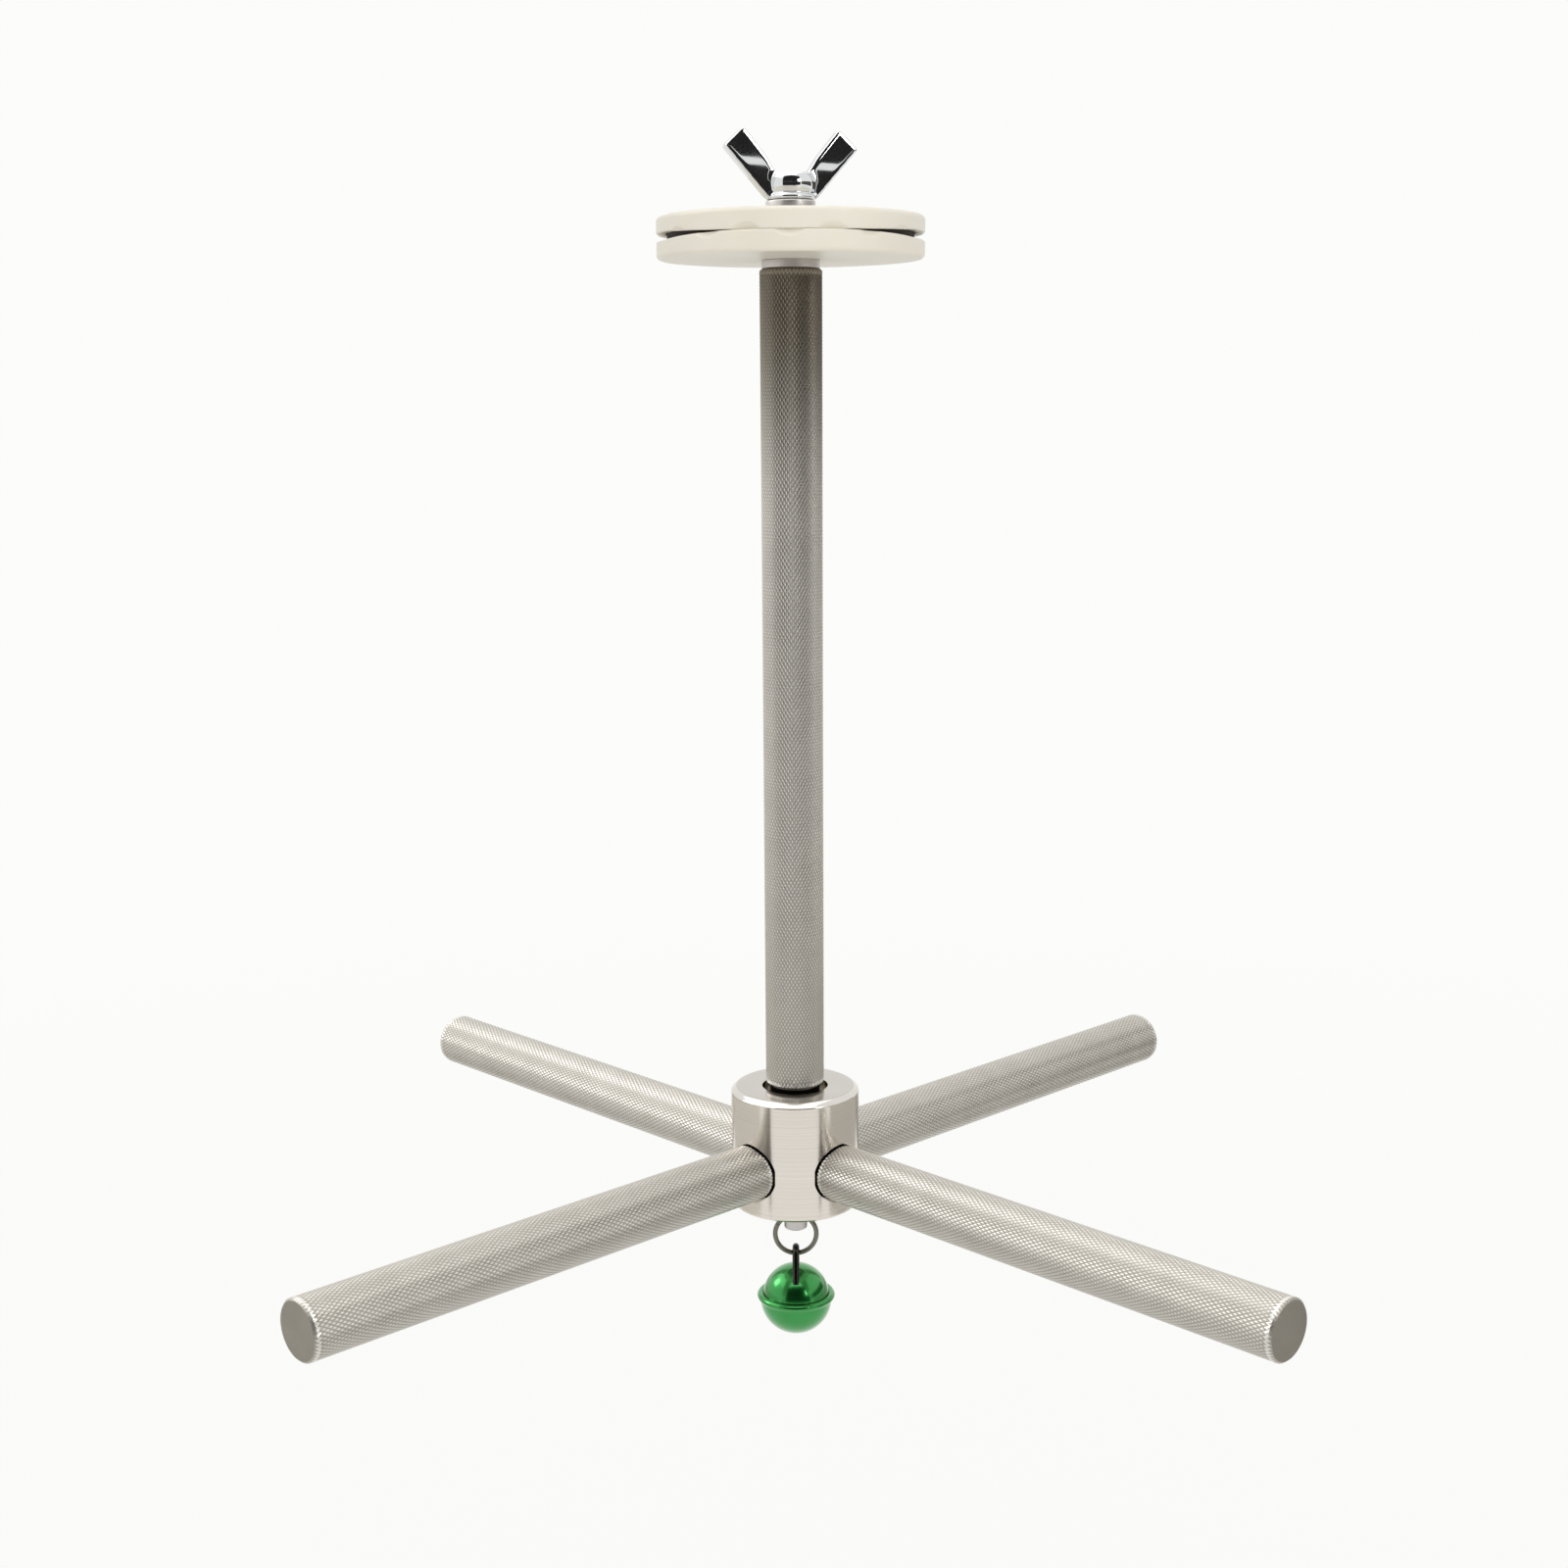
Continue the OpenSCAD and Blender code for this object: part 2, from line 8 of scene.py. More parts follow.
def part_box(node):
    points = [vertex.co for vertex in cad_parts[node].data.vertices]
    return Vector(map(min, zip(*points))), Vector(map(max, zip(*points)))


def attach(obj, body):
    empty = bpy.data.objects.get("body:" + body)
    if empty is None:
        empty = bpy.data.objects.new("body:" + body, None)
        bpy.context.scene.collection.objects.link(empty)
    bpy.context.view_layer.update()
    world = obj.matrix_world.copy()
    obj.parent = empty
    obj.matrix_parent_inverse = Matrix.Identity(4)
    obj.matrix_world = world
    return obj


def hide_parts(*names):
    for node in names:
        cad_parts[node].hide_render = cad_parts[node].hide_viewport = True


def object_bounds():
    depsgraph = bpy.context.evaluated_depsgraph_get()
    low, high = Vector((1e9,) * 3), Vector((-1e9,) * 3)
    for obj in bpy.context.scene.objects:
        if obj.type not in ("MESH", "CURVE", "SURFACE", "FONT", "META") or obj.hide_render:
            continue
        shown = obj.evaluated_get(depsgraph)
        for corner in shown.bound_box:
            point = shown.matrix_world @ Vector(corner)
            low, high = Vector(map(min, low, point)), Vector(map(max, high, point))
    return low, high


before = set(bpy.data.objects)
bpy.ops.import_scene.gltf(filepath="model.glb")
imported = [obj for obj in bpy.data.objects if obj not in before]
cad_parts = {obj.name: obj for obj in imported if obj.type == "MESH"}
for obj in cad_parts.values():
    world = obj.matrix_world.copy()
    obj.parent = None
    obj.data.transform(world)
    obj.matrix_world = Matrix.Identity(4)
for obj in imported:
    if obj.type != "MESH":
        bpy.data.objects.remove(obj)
cad_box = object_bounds()
mm = 0.001


# Post: a round bar of stainless steel. Two wheels roll the diamond knurl into it, and then
# both ends are faced, chamfered and tapped. The knurl's crests are painted light and its
# grooves dull and darker, a painted shade in the grooves.
def plug(tree, node, inputs):
    """Fills a node's inputs, each with a value, an output, or a node that stands for the first
    output that it has in use."""
    for key, value in inputs.items():
        if isinstance(value, bpy.types.Node):
            value = next(output for output in value.outputs if output.enabled)
        if isinstance(value, bpy.types.NodeSocket):
            tree.links.new(value, node.inputs[key])
        else:
            node.inputs[key].default_value = value


def add(tree, kind, inputs={}, **settings):
    """Adds a node with its settings and links."""
    node = tree.nodes.new(kind)
    for name, value in settings.items():
        setattr(node, name, value)
    plug(tree, node, inputs)
    return node


def linear(hex_colour):
    """Turns an sRGB hex colour into the linear one that a shader reads."""
    parts = [int(hex_colour[i : i + 2], 16) / 255 for i in (1, 3, 5)]
    return [p / 12.92 if p <= 0.04045 else ((p + 0.055) / 1.055) ** 2.4 for p in parts] + [1]


def start_finish(name, metallic):
    """Starts a material and returns it with its tree, its surface shader and its Object coordinates."""
    made = bpy.data.materials.new(name)
    made.use_nodes = True
    shader = made.node_tree.nodes["Principled BSDF"]
    shader.inputs["Metallic"].default_value = metallic
    place = add(made.node_tree, "ShaderNodeTexCoord")
    return made, made.node_tree, shader, place.outputs["Object"]


def sized_tree(name, counts, lengths):
    """Starts a geometry tree with a named input for each count and length and for its steel, and
    returns it with those inputs."""
    tree = bpy.data.node_groups.new(name, "GeometryNodeTree")
    kinds = {**dict.fromkeys(counts, "Int"), **dict.fromkeys(lengths, "Float"), "Steel": "Material"}
    for size, kind in kinds.items():
        tree.interface.new_socket(size, in_out="INPUT", socket_type="NodeSocket" + kind)
    tree.interface.new_socket("Geometry", in_out="OUTPUT", socket_type="NodeSocketGeometry")
    return tree, add(tree, "NodeGroupInput").outputs


def finish_tree(tree, mesh, material):
    """Ends a geometry tree with plain geometry in one material."""
    plain = add(tree, "GeometryNodeRealizeInstances", {"Geometry": mesh})
    coated = add(tree, "GeometryNodeSetMaterial", {"Geometry": plain, "Material": material})
    add(tree, "NodeGroupOutput", {"Geometry": coated})


def settle(piece):
    """Makes what a piece's modifiers give its own plain mesh."""
    depsgraph = bpy.context.evaluated_depsgraph_get()
    piece.data = bpy.data.meshes.new_from_object(piece.evaluated_get(depsgraph))
    piece.modifiers.clear()


def grown(name, tree, sizes):
    """Evaluates a geometry tree at the given sizes and returns the result as a plain mesh object."""
    piece = bpy.data.objects.new(name, bpy.data.meshes.new(name))
    bpy.context.scene.collection.objects.link(piece)
    modifier = piece.modifiers.new(name, "NODES")
    modifier.node_group = tree
    for socket in tree.interface.items_tree:
        if socket.name in sizes:
            modifier[socket.identifier] = sizes[socket.name]
    settle(piece)
    return piece


def closed_ends(tree, tube, rings):
    """Closes a tube's seam along Z, carries both its open ends through rings, each a radius and a
    distance from the middle, and merges the last ring's points on the axis."""
    tube = add(tree, "GeometryNodeMergeByDistance", {"Geometry": tube, "Distance": 0.001 * mm})
    sides = add(tree, "GeometryNodeInputMeshEdgeNeighbors")
    rim = add(tree, "ShaderNodeMath", {0: sides, 1: 1.5}, operation="LESS_THAN")
    point = add(tree, "GeometryNodeInputPosition")
    level = add(tree, "ShaderNodeVectorMath", {0: point, 1: (1, 1, 0)}, operation="MULTIPLY")
    outward = add(tree, "ShaderNodeVectorMath", {0: level}, operation="NORMALIZE")
    height = add(tree, "ShaderNodeSeparateXYZ", {0: point}).outputs["Z"]
    end = add(tree, "ShaderNodeMath", {0: height}, operation="SIGN")
    for radius, distance in rings:
        wall = add(tree, "GeometryNodeExtrudeMesh", {"Mesh": tube, "Selection": rim, "Offset Scale": 0.0},
                   mode="EDGES")
        out = add(tree, "ShaderNodeVectorMath", {0: outward, "Scale": radius}, operation="SCALE")
        rise = add(tree, "ShaderNodeMath", {0: end, 1: distance}, operation="MULTIPLY")
        place = add(tree, "ShaderNodeVectorMath", {0: out, 1: add(tree, "ShaderNodeCombineXYZ", {"Z": rise})})
        rim = wall.outputs["Top"]
        tube = add(tree, "GeometryNodeSetPosition", {"Geometry": wall, "Selection": rim, "Position": place})
    return add(tree, "GeometryNodeMergeByDistance", {"Geometry": tube, "Distance": 0.001 * mm})


def flat_skin(tree, columns, rows):
    """A sheet of this many squares, one unit wide and long, and where its points lie."""
    sheet = add(tree, "GeometryNodeMeshGrid", {
        "Size X": 1.0, "Size Y": 1.0,
        "Vertices X": add(tree, "ShaderNodeMath", {0: columns, 1: 1.0}),
        "Vertices Y": add(tree, "ShaderNodeMath", {0: rows, 1: 1.0})})
    return sheet, add(tree, "ShaderNodeSeparateXYZ", {0: add(tree, "GeometryNodeInputPosition")}).outputs


def stretched(tree, length, end, y):
    """Half of a bar's length, and the heights that carry a skin along it up to its two ends."""
    half = add(tree, "ShaderNodeMath", {0: length, 1: 2.0}, operation="DIVIDE")
    short = add(tree, "ShaderNodeMath", {0: half, 1: end}, operation="SUBTRACT")
    span = add(tree, "ShaderNodeMath", {0: short, 1: 2.0}, operation="MULTIPLY")
    return half, add(tree, "ShaderNodeMath", {0: y, 1: span}, operation="MULTIPLY")


def wrapped(tree, skin, radius, turn, z):
    """Bends a flat skin round the Z axis."""
    x, y = [add(tree, "ShaderNodeMath", {
        0: radius, 1: add(tree, "ShaderNodeMath", {0: turn}, operation=part)}, operation="MULTIPLY")
        for part in ("COSINE", "SINE")]
    place = add(tree, "ShaderNodeCombineXYZ", {"X": x, "Y": y, "Z": z})
    return add(tree, "GeometryNodeSetPosition", {"Geometry": skin, "Position": place})


def off_axis(tree, point):
    """How far a point lies from the Z axis."""
    level = add(tree, "ShaderNodeVectorMath", {0: point, 1: (1, 1, 0)}, operation="MULTIPLY")
    return add(tree, "ShaderNodeVectorMath", {0: level}, operation="LENGTH")


def knurled_bar_tree():
    """A bar along Z, centred on its middle. The points of its skin are crests and groove
    crossings in turn, like the squares of a chessboard."""
    tree, size = sized_tree("knurled_bar", ("Diamonds Around", "Rows Along"), (
        "Length", "Radius", "Groove Depth", "Chamfer", "Near End Length", "Near End Radius",
        "Bore Radius", "Near Bore Depth", "Far Bore Depth"))
    columns = add(tree, "ShaderNodeMath", {0: size["Diamonds Around"], 1: 2.0}, operation="MULTIPLY")
    skin, flat = flat_skin(tree, columns, size["Rows Along"])
    across = add(tree, "ShaderNodeMath", {0: flat["X"], 1: 0.5})
    along = add(tree, "ShaderNodeMath", {0: flat["Y"], 1: 0.5})
    column = add(tree, "ShaderNodeMath", {0: across, 1: columns}, operation="MULTIPLY")
    row = add(tree, "ShaderNodeMath", {0: along, 1: size["Rows Along"]}, operation="MULTIPLY")
    square = add(tree, "ShaderNodeMath", {0: column, 1: row})
    count = add(tree, "ShaderNodeMath", {0: square}, operation="ROUND")
    is_groove = add(tree, "ShaderNodeMath", {0: count, 1: 2.0}, operation="MODULO")
    sunk = add(tree, "ShaderNodeMath", {0: is_groove, 1: size["Groove Depth"]}, operation="MULTIPLY")
    radius = add(tree, "ShaderNodeMath", {0: size["Radius"], 1: sunk}, operation="SUBTRACT")
    turn = add(tree, "ShaderNodeMath", {0: across, 1: math.tau}, operation="MULTIPLY")
    # The end rows lie on the chamfer's cone, where the grooves reach further out than the crests
    half, knurl_z = stretched(tree, size["Length"], size["Chamfer"], flat["Y"])
    from_middle = add(tree, "ShaderNodeMath", {0: flat["Y"]}, operation="ABSOLUTE")
    is_end = add(tree, "ShaderNodeMath", {0: from_middle, 1: 0.49999}, operation="GREATER_THAN")
    overrun = add(tree, "ShaderNodeMath", {
        0: add(tree, "ShaderNodeMath", {0: sunk, 1: is_end}, operation="MULTIPLY"),
        1: add(tree, "ShaderNodeMath", {0: flat["Y"]}, operation="SIGN")}, operation="MULTIPLY")
    tube = wrapped(tree, skin, radius, turn, add(tree, "ShaderNodeMath", {0: knurl_z, 1: overrun}))
    # A groove runs from crossing to crossing, which is the shorter way over each square
    diamonds = add(tree, "GeometryNodeTriangulate", {"Mesh": tube}, quad_method="SHORTEST_DIAGONAL")
    point = add(tree, "GeometryNodeInputPosition")
    end_face = add(tree, "ShaderNodeMath", {0: size["Radius"], 1: size["Chamfer"]}, operation="SUBTRACT")
    bore = size["Bore Radius"]
    height = add(tree, "ShaderNodeSeparateXYZ", {0: point}).outputs["Z"]
    is_far = add(tree, "ShaderNodeMath", {0: height, 1: 0.0}, operation="GREATER_THAN")
    end_r = add(tree, "ShaderNodeMix", {0: is_far, 2: size["Near End Radius"], 3: bore})
    end_l = add(tree, "ShaderNodeMix", {0: is_far, 2: size["Near End Length"], 3: 0.0})
    mouth = add(tree, "ShaderNodeMath", {0: half, 1: end_l})
    depth = add(tree, "ShaderNodeMix", {0: is_far, 2: size["Near Bore Depth"], 3: size["Far Bore Depth"]})
    floor = add(tree, "ShaderNodeMath", {0: mouth, 1: depth}, operation="SUBTRACT")
    solid = closed_ends(tree, diamonds, (
        (end_face, half), (end_r, half), (end_r, mouth), (bore, mouth), (bore, floor), (0.0, floor)))
    # How far a point stands up from the grooves, from 0 to 1
    deepest = add(tree, "ShaderNodeMath", {0: size["Radius"], 1: size["Groove Depth"]}, operation="SUBTRACT")
    rise = add(tree, "ShaderNodeMapRange", {
        "Value": off_axis(tree, point), "From Min": deepest, "From Max": size["Radius"]})
    crest = add(tree, "GeometryNodeStoreNamedAttribute", {"Geometry": solid, "Name": "crest", "Value": rise},
                data_type="FLOAT", domain="POINT")
    finish_tree(tree, crest, size["Steel"])
    return tree


def knurled_stainless():
    """Stainless steel bar: light crests, grooves dull and painted a darker warm grey as painted shade, a
    satin turned surface at the ends, and painted shade under the discs and in the hub."""
    made, tree, shader, place = start_finish("knurled_stainless_steel", 1.0)
    crest = add(tree, "ShaderNodeAttribute", attribute_name="crest").outputs["Fac"]
    # Patches about 6 mm long, where the bar was handled more or less
    handled = add(tree, "ShaderNodeTexNoise", {"Vector": place, "Scale": 160.0, "Detail": 3.0})
    # The grooves are painted darker and warmer than the crests: painted shade in the knurl's recesses
    groove = add(tree, "ShaderNodeMix", {0: handled, 6: linear("#98938A"), 7: linear("#ADA89F")},
                 data_type="RGBA")
    crest_tone = add(tree, "ShaderNodeMix", {0: handled, 6: linear("#E4E1DB"), 7: linear("#EFEDE8")},
                 data_type="RGBA")
    # Close under the discs the bar is painted darker and browner: painted shade cast by the discs
    height = add(tree, "ShaderNodeSeparateXYZ", {0: place}).outputs["Z"]
    clear_of_disc_shade = add(tree, "ShaderNodeMapRange", {"Value": height, "From Min": -12 * mm, "From Max": -55 * mm},
                  interpolation_type="SMOOTHSTEP")
    bright = add(tree, "ShaderNodeMix", {0: clear_of_disc_shade, 6: linear("#8F8678"), 7: crest_tone}, data_type="RGBA")
    deep = add(tree, "ShaderNodeMix", {0: clear_of_disc_shade, 6: linear("#635C52"), 7: groove}, data_type="RGBA")
    bar = add(tree, "ShaderNodeMix", {0: crest, 6: deep, 7: bright}, data_type="RGBA")
    # Down in the hub's cup, and where an arm enters the hub, it is painted black: painted shade in the cup
    # and the sockets' gaps
    hub_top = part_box("hub")[1]
    near_axis = add(tree, "ShaderNodeMath", {0: off_axis(tree, place), 1: hub_top.x + 0.35 * mm},
                    operation="LESS_THAN")
    below = add(tree, "ShaderNodeMath", {0: height, 1: hub_top.z + 0.3 * mm}, operation="LESS_THAN")
    socket_shade = add(tree, "ShaderNodeMath", {0: near_axis, 1: below}, operation="MULTIPLY")
    colour = add(tree, "ShaderNodeMix", {0: socket_shade, 6: bar, 7: linear("#1E1B18")}, data_type="RGBA")
    dullness = add(tree, "ShaderNodeMapRange", {"Value": crest, "To Min": 0.5, "To Max": 0.25})
    # Fine pits, drawn coarse at 0.2 mm so that they show
    pits = add(tree, "ShaderNodeTexNoise", {"Vector": place, "Scale": 5000.0, "Detail": 2.0})
    bump = add(tree, "ShaderNodeBump", {"Height": pits, "Strength": 0.12, "Distance": 0.02 * mm})
    plug(tree, shader, {"Base Color": colour, "Roughness": dullness, "Normal": bump})
    return made


def crease(piece, degrees=30):
    """Shades a piece smooth, apart from its edges that turn more sharply than this."""
    piece.data.shade_smooth()
    piece.data.set_sharp_from_angle(angle=math.radians(degrees))


def dress(piece, node, body):
    """Puts a finished piece in its CAD node's place."""
    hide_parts(node)
    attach(piece, body)


bar_tree = knurled_bar_tree()
bar_steel = knurled_stainless()
bar_chamfer = 0.5 * mm
tapped_hole_d = 6.1 * mm


def knurled_bar(name, length, diameter, diamond_w, bore_depths, plain_end=(0.0, tapped_hole_d)):
    """A knurled bar along Z, centred on the knurl's middle. Each diamond is 1.7 times as long as
    wide. Its near end may have a plain turned length, given with its diameter."""
    around = round(math.pi * diameter / diamond_w)
    rows = round((length - 2 * bar_chamfer) / (diamond_w * math.sqrt(3) / 2))
    near, far = bore_depths
    bar = grown(name, bar_tree, {
        "Length": length, "Radius": diameter / 2, "Diamonds Around": around, "Rows Along": rows,
        "Groove Depth": 0.16 * diamond_w, "Chamfer": bar_chamfer, "Near End Length": plain_end[0],
        "Near End Radius": plain_end[1] / 2, "Bore Radius": tapped_hole_d / 2,
        "Near Bore Depth": near, "Far Bore Depth": far, "Steel": bar_steel})
    crease(bar, 20)
    return bar


post_low, post_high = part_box("post")
post_diamond_w = 0.76 * mm
post_bore_depths = 15.5 * mm, 13.5 * mm
turned_end_d = 10.4 * mm
knurl_base_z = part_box("hub")[1].z + 0.6 * mm
post = knurled_bar("knurled_post", post_high.z - knurl_base_z, post_high.x - post_low.x, post_diamond_w,
                   post_bore_depths, (knurl_base_z - post_low.z, turned_end_d))
post.data.transform(Matrix.Translation((0, 0, (knurl_base_z + post_high.z) / 2)))
dress(post, "post", "stem")


# Arms: four shorter lengths of the same bar with a coarser knurl. Each stands on a flat seat in
# the hub, where a stud holds it, and its outer end is plain.
arm_reach = 122 * mm
arm_seat = 12 * mm
arm_d = 12 * mm
arm_diamond_w = 0.82 * mm
arm_bore_depths = 11.6 * mm, 0.0
arm_names = ("rear_right", "rear_left", "front_left", "front_right")
arm_low, arm_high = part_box("arm_front_left")
arm_z = (arm_low.z + arm_high.z) / 2


def on_arm_axis(i):
    """Turns +Z onto the axis of arm i, pointing out of the hub."""
    return (Matrix.Translation((0, 0, arm_z)) @ Matrix.Rotation(math.radians(45 + 90 * i), 4, "Z")
            @ Matrix.Rotation(math.radians(90), 4, "Y"))


for i, side in enumerate(arm_names):
    arm = knurled_bar("knurled_arm_" + side, arm_reach - arm_seat, arm_d, arm_diamond_w, arm_bore_depths)
    arm.data.transform(on_arm_axis(i) @ Matrix.Translation((0, 0, (arm_reach + arm_seat) / 2)))
    dress(arm, "arm_" + side, "perch_cross")


# Studs: M6 threaded rod in bright zinc, cut to length and chamfered. One joins the post to the
# clamp and four join the arms to the hub.
def threaded_rod_tree():
    """A rod along Z of 48 sides, centred on its middle, with a right-hand thread."""
    tree, size = sized_tree("threaded_rod", ("Rows Along",), ("Length", "Radius", "Pitch", "Thread Depth"))
    skin, flat = flat_skin(tree, 48, size["Rows Along"])
    half, z = stretched(tree, size["Length"], size["Thread Depth"], flat["Y"])
    turns = add(tree, "ShaderNodeMath", {
        0: add(tree, "ShaderNodeMath", {0: z, 1: size["Pitch"]}, operation="DIVIDE"), 1: flat["X"]},
        operation="SUBTRACT")
    # From 0 at the thread's root to 1 at its crest
    rise = add(tree, "ShaderNodeMath", {0: turns, 1: 0.5}, operation="PINGPONG")
    root = add(tree, "ShaderNodeMath", {0: size["Radius"], 1: size["Thread Depth"]}, operation="SUBTRACT")
    thread = add(tree, "ShaderNodeMath", {
        0: rise, 1: add(tree, "ShaderNodeMath", {0: size["Thread Depth"], 1: 2.0}, operation="MULTIPLY")},
        operation="MULTIPLY")
    radius = add(tree, "ShaderNodeMath", {0: root, 1: thread})
    turn = add(tree, "ShaderNodeMath", {0: flat["X"], 1: math.tau}, operation="MULTIPLY")
    tube = wrapped(tree, skin, radius, turn, z)
    solid = closed_ends(tree, tube, ((root, half), (0.0, half)))
    finish_tree(tree, solid, size["Steel"])
    return tree


def tone(tree, shader, pattern, dark, light, dullness):
    """Lets a pattern carry a finish's colour from dark to light, and its roughness from one end of
    dullness to the other. A roughness that is the same all over is a single number."""
    colour = add(tree, "ShaderNodeMix", {0: pattern, 6: linear(dark), 7: linear(light)}, data_type="RGBA")
    if isinstance(dullness, tuple):
        low, high = dullness
        dullness = add(tree, "ShaderNodeMapRange", {"Value": pattern, "To Min": low, "To Max": high})
    plug(tree, shader, {"Base Color": colour, "Roughness": dullness})


def bright_zinc():
    """Zinc plated steel: a light neutral grey shine with cloudy patches in its passivated film."""
    made, tree, shader, place = start_finish("bright_zinc_plate", 1.0)
    # Clouds about 2 mm across
    cloud = add(tree, "ShaderNodeTexNoise", {"Vector": place, "Scale": 500.0, "Detail": 4.0})
    tone(tree, shader, cloud, "#C3BEBB", "#DAD6D2", dullness=(0.34, 0.48))
    return made


stud_tree = threaded_rod_tree()
zinc = bright_zinc()
stud_pitch = 1.0 * mm
stud_d = 6 * mm


def threaded_rod(name, length):
    """An M6 rod along Z, centred on its middle."""
    rod = grown(name, stud_tree, {
        "Length": length, "Radius": stud_d / 2, "Pitch": stud_pitch, "Thread Depth": 0.613 * stud_pitch,
        "Rows Along": round(8 * length / stud_pitch), "Steel": zinc})
    crease(rod, 35)
    return rod


stud_low, stud_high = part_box("top_stud")
top_stud = threaded_rod("clamp_stud", stud_high.z - stud_low.z)
top_stud.data.transform(Matrix.Translation((0, 0, (stud_low.z + stud_high.z) / 2)))
dress(top_stud, "top_stud", "stem")

arm_stud_start = 4.1 * mm
arm_stud_l = 18 * mm
for i, side in enumerate(arm_names):
    stud = threaded_rod("arm_stud_" + side, arm_stud_l)
    stud.data.transform(on_arm_axis(i) @ Matrix.Translation((0, 0, arm_stud_start + arm_stud_l / 2)))
    dress(stud, "stud_" + side, "perch_cross")


# Washers: stamped from sheet with slightly rounded edges and zinc plated. One lies between
# the lower disc and the post, one on the upper disc, and one keeps the hub on its pin.
def rounded(corners):
    """Lays out a closed outline from corners, each (distance from the axis, height, bend radius)."""
    outline = []
    for k, (r, z, bend) in enumerate(corners):
        here = Vector((r, z))
        before = (Vector(corners[k - 1][:2]) - here).normalized()
        after = (Vector(corners[(k + 1) % len(corners)][:2]) - here).normalized()
        if bend == 0:
            outline.append(here)
            continue
        half_angle = before.angle(after) / 2
        start = here + before * bend / math.tan(half_angle)
        end = here + after * bend / math.tan(half_angle)
        centre = here + (before + after).normalized() * bend / math.sin(half_angle)
        sweep = (start - centre).angle_signed(end - centre)
        steps = max(2, round(abs(math.degrees(sweep)) / 11))
        for step in range(steps + 1):
            outline.append(centre + Matrix.Rotation(-sweep * step / steps, 2) @ (start - centre))
    return outline


def piece_of(name, shape, material=None):
    """Turns a finished bmesh into an object in the scene."""
    mesh = bpy.data.meshes.new(name)
    shape.to_mesh(mesh)
    shape.free()
    if material:
        mesh.materials.append(material)
    piece = bpy.data.objects.new(name, mesh)
    bpy.context.scene.collection.objects.link(piece)
    return piece


def turned(name, outline, material, sides=160):
    """Turns a closed outline about Z. Points on the axis become poles."""
    shape = bmesh.new()
    rings = []
    for r, z in outline:
        if r < 0.001 * mm:
            rings.append([shape.verts.new((0, 0, z))])
            continue
        angles = [math.tau * k / sides for k in range(sides)]
        rings.append([shape.verts.new((r * math.cos(a), r * math.sin(a), z)) for a in angles])
    for k, ring in enumerate(rings):
        below = rings[k - 1]
        if len(ring) == len(below) == 1:
            continue
        for a in range(sides):
            b = (a + 1) % sides
            corners = [below[a % len(below)], below[b % len(below)], ring[b % len(ring)], ring[a % len(ring)]]
            shape.faces.new(list(dict.fromkeys(corners)))
    bmesh.ops.recalc_face_normals(shape, faces=shape.faces)
    piece = piece_of(name, shape, material)
    crease(piece)
    return piece


def washer(name, node, body, bore_d, edge, finish=zinc):
    """A flat ring that fills its CAD node's box, apart from its rounded edges."""
    low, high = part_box(node)
    corners = (bore_d / 2, low.z), (high.x, low.z), (high.x, high.z), (bore_d / 2, high.z)
    dress(turned(name, rounded([(*corner, edge) for corner in corners]), finish), node, body)


disc_bore_d = 6.4 * mm
washer("neck_flat_washer", "neck_washer", "stem", disc_bore_d, 0.15 * mm)
washer("top_flat_washer", "top_washer", "upper_clamp", disc_bore_d, 0.15 * mm)
washer("keeper_flat_washer", "keeper_washer", "stem", tapped_hole_d, 0.12 * mm)


# Clamp discs: two of one moulding in cream ABS, rim to rim. Each has a pocket for its pad, a lip
# that sinks towards its left and right sides, and ten finger dimples in the rim's corner.
def moulded_abs():
    """Cream ABS: a satin moulded skin, a little warmer in places, with a faint orange peel."""
    made, tree, shader, place = start_finish("cream_moulded_abs", 0.0)
    # Tone drifts over about 12 mm
    drift = add(tree, "ShaderNodeTexNoise", {"Vector": place, "Scale": 80.0, "Detail": 2.0})
    tone(tree, shader, drift, "#E9E2D3", "#F2EDE1", dullness=(0.34, 0.46))
    # Orange peel about 0.5 mm across
    peel = add(tree, "ShaderNodeTexNoise", {"Vector": place, "Scale": 2000.0, "Detail": 1.0})
    bump = add(tree, "ShaderNodeBump", {"Height": peel, "Strength": 0.15, "Distance": 0.02 * mm})
    plug(tree, shader, {"Subsurface Weight": 0.12, "Subsurface Radius": (1.0, 0.75, 0.5),
                        "Subsurface Scale": 1.5 * mm, "Normal": bump})
    return made


disc_r = 26 * mm
disc_t = 4 * mm
lip_w = 1.9 * mm
pad_t = 1.2 * mm
lip_relief = 0.72 * mm
relief_mouth = disc_r - 2.1 * mm
relief_ramp = 13.5 * mm
dimple_count = 10
dimple_w = 7.3 * mm
dimple_h = 1.3 * mm
dimple_depth = 0.9 * mm
cream = moulded_abs()


def close_set(outline, longest):
    """Adds points so that none near the disc's rim are further apart than this."""
    points = []
    for k, end in enumerate(outline):
        start = outline[k - 1]
        near_rim = min(start.x, end.x) > disc_r - lip_w - 0.3 * mm
        steps = max(1, math.ceil((end - start).length / longest)) if near_rim else 1
        points += [start.lerp(end, step / steps) for step in range(1, steps + 1)]
    return points


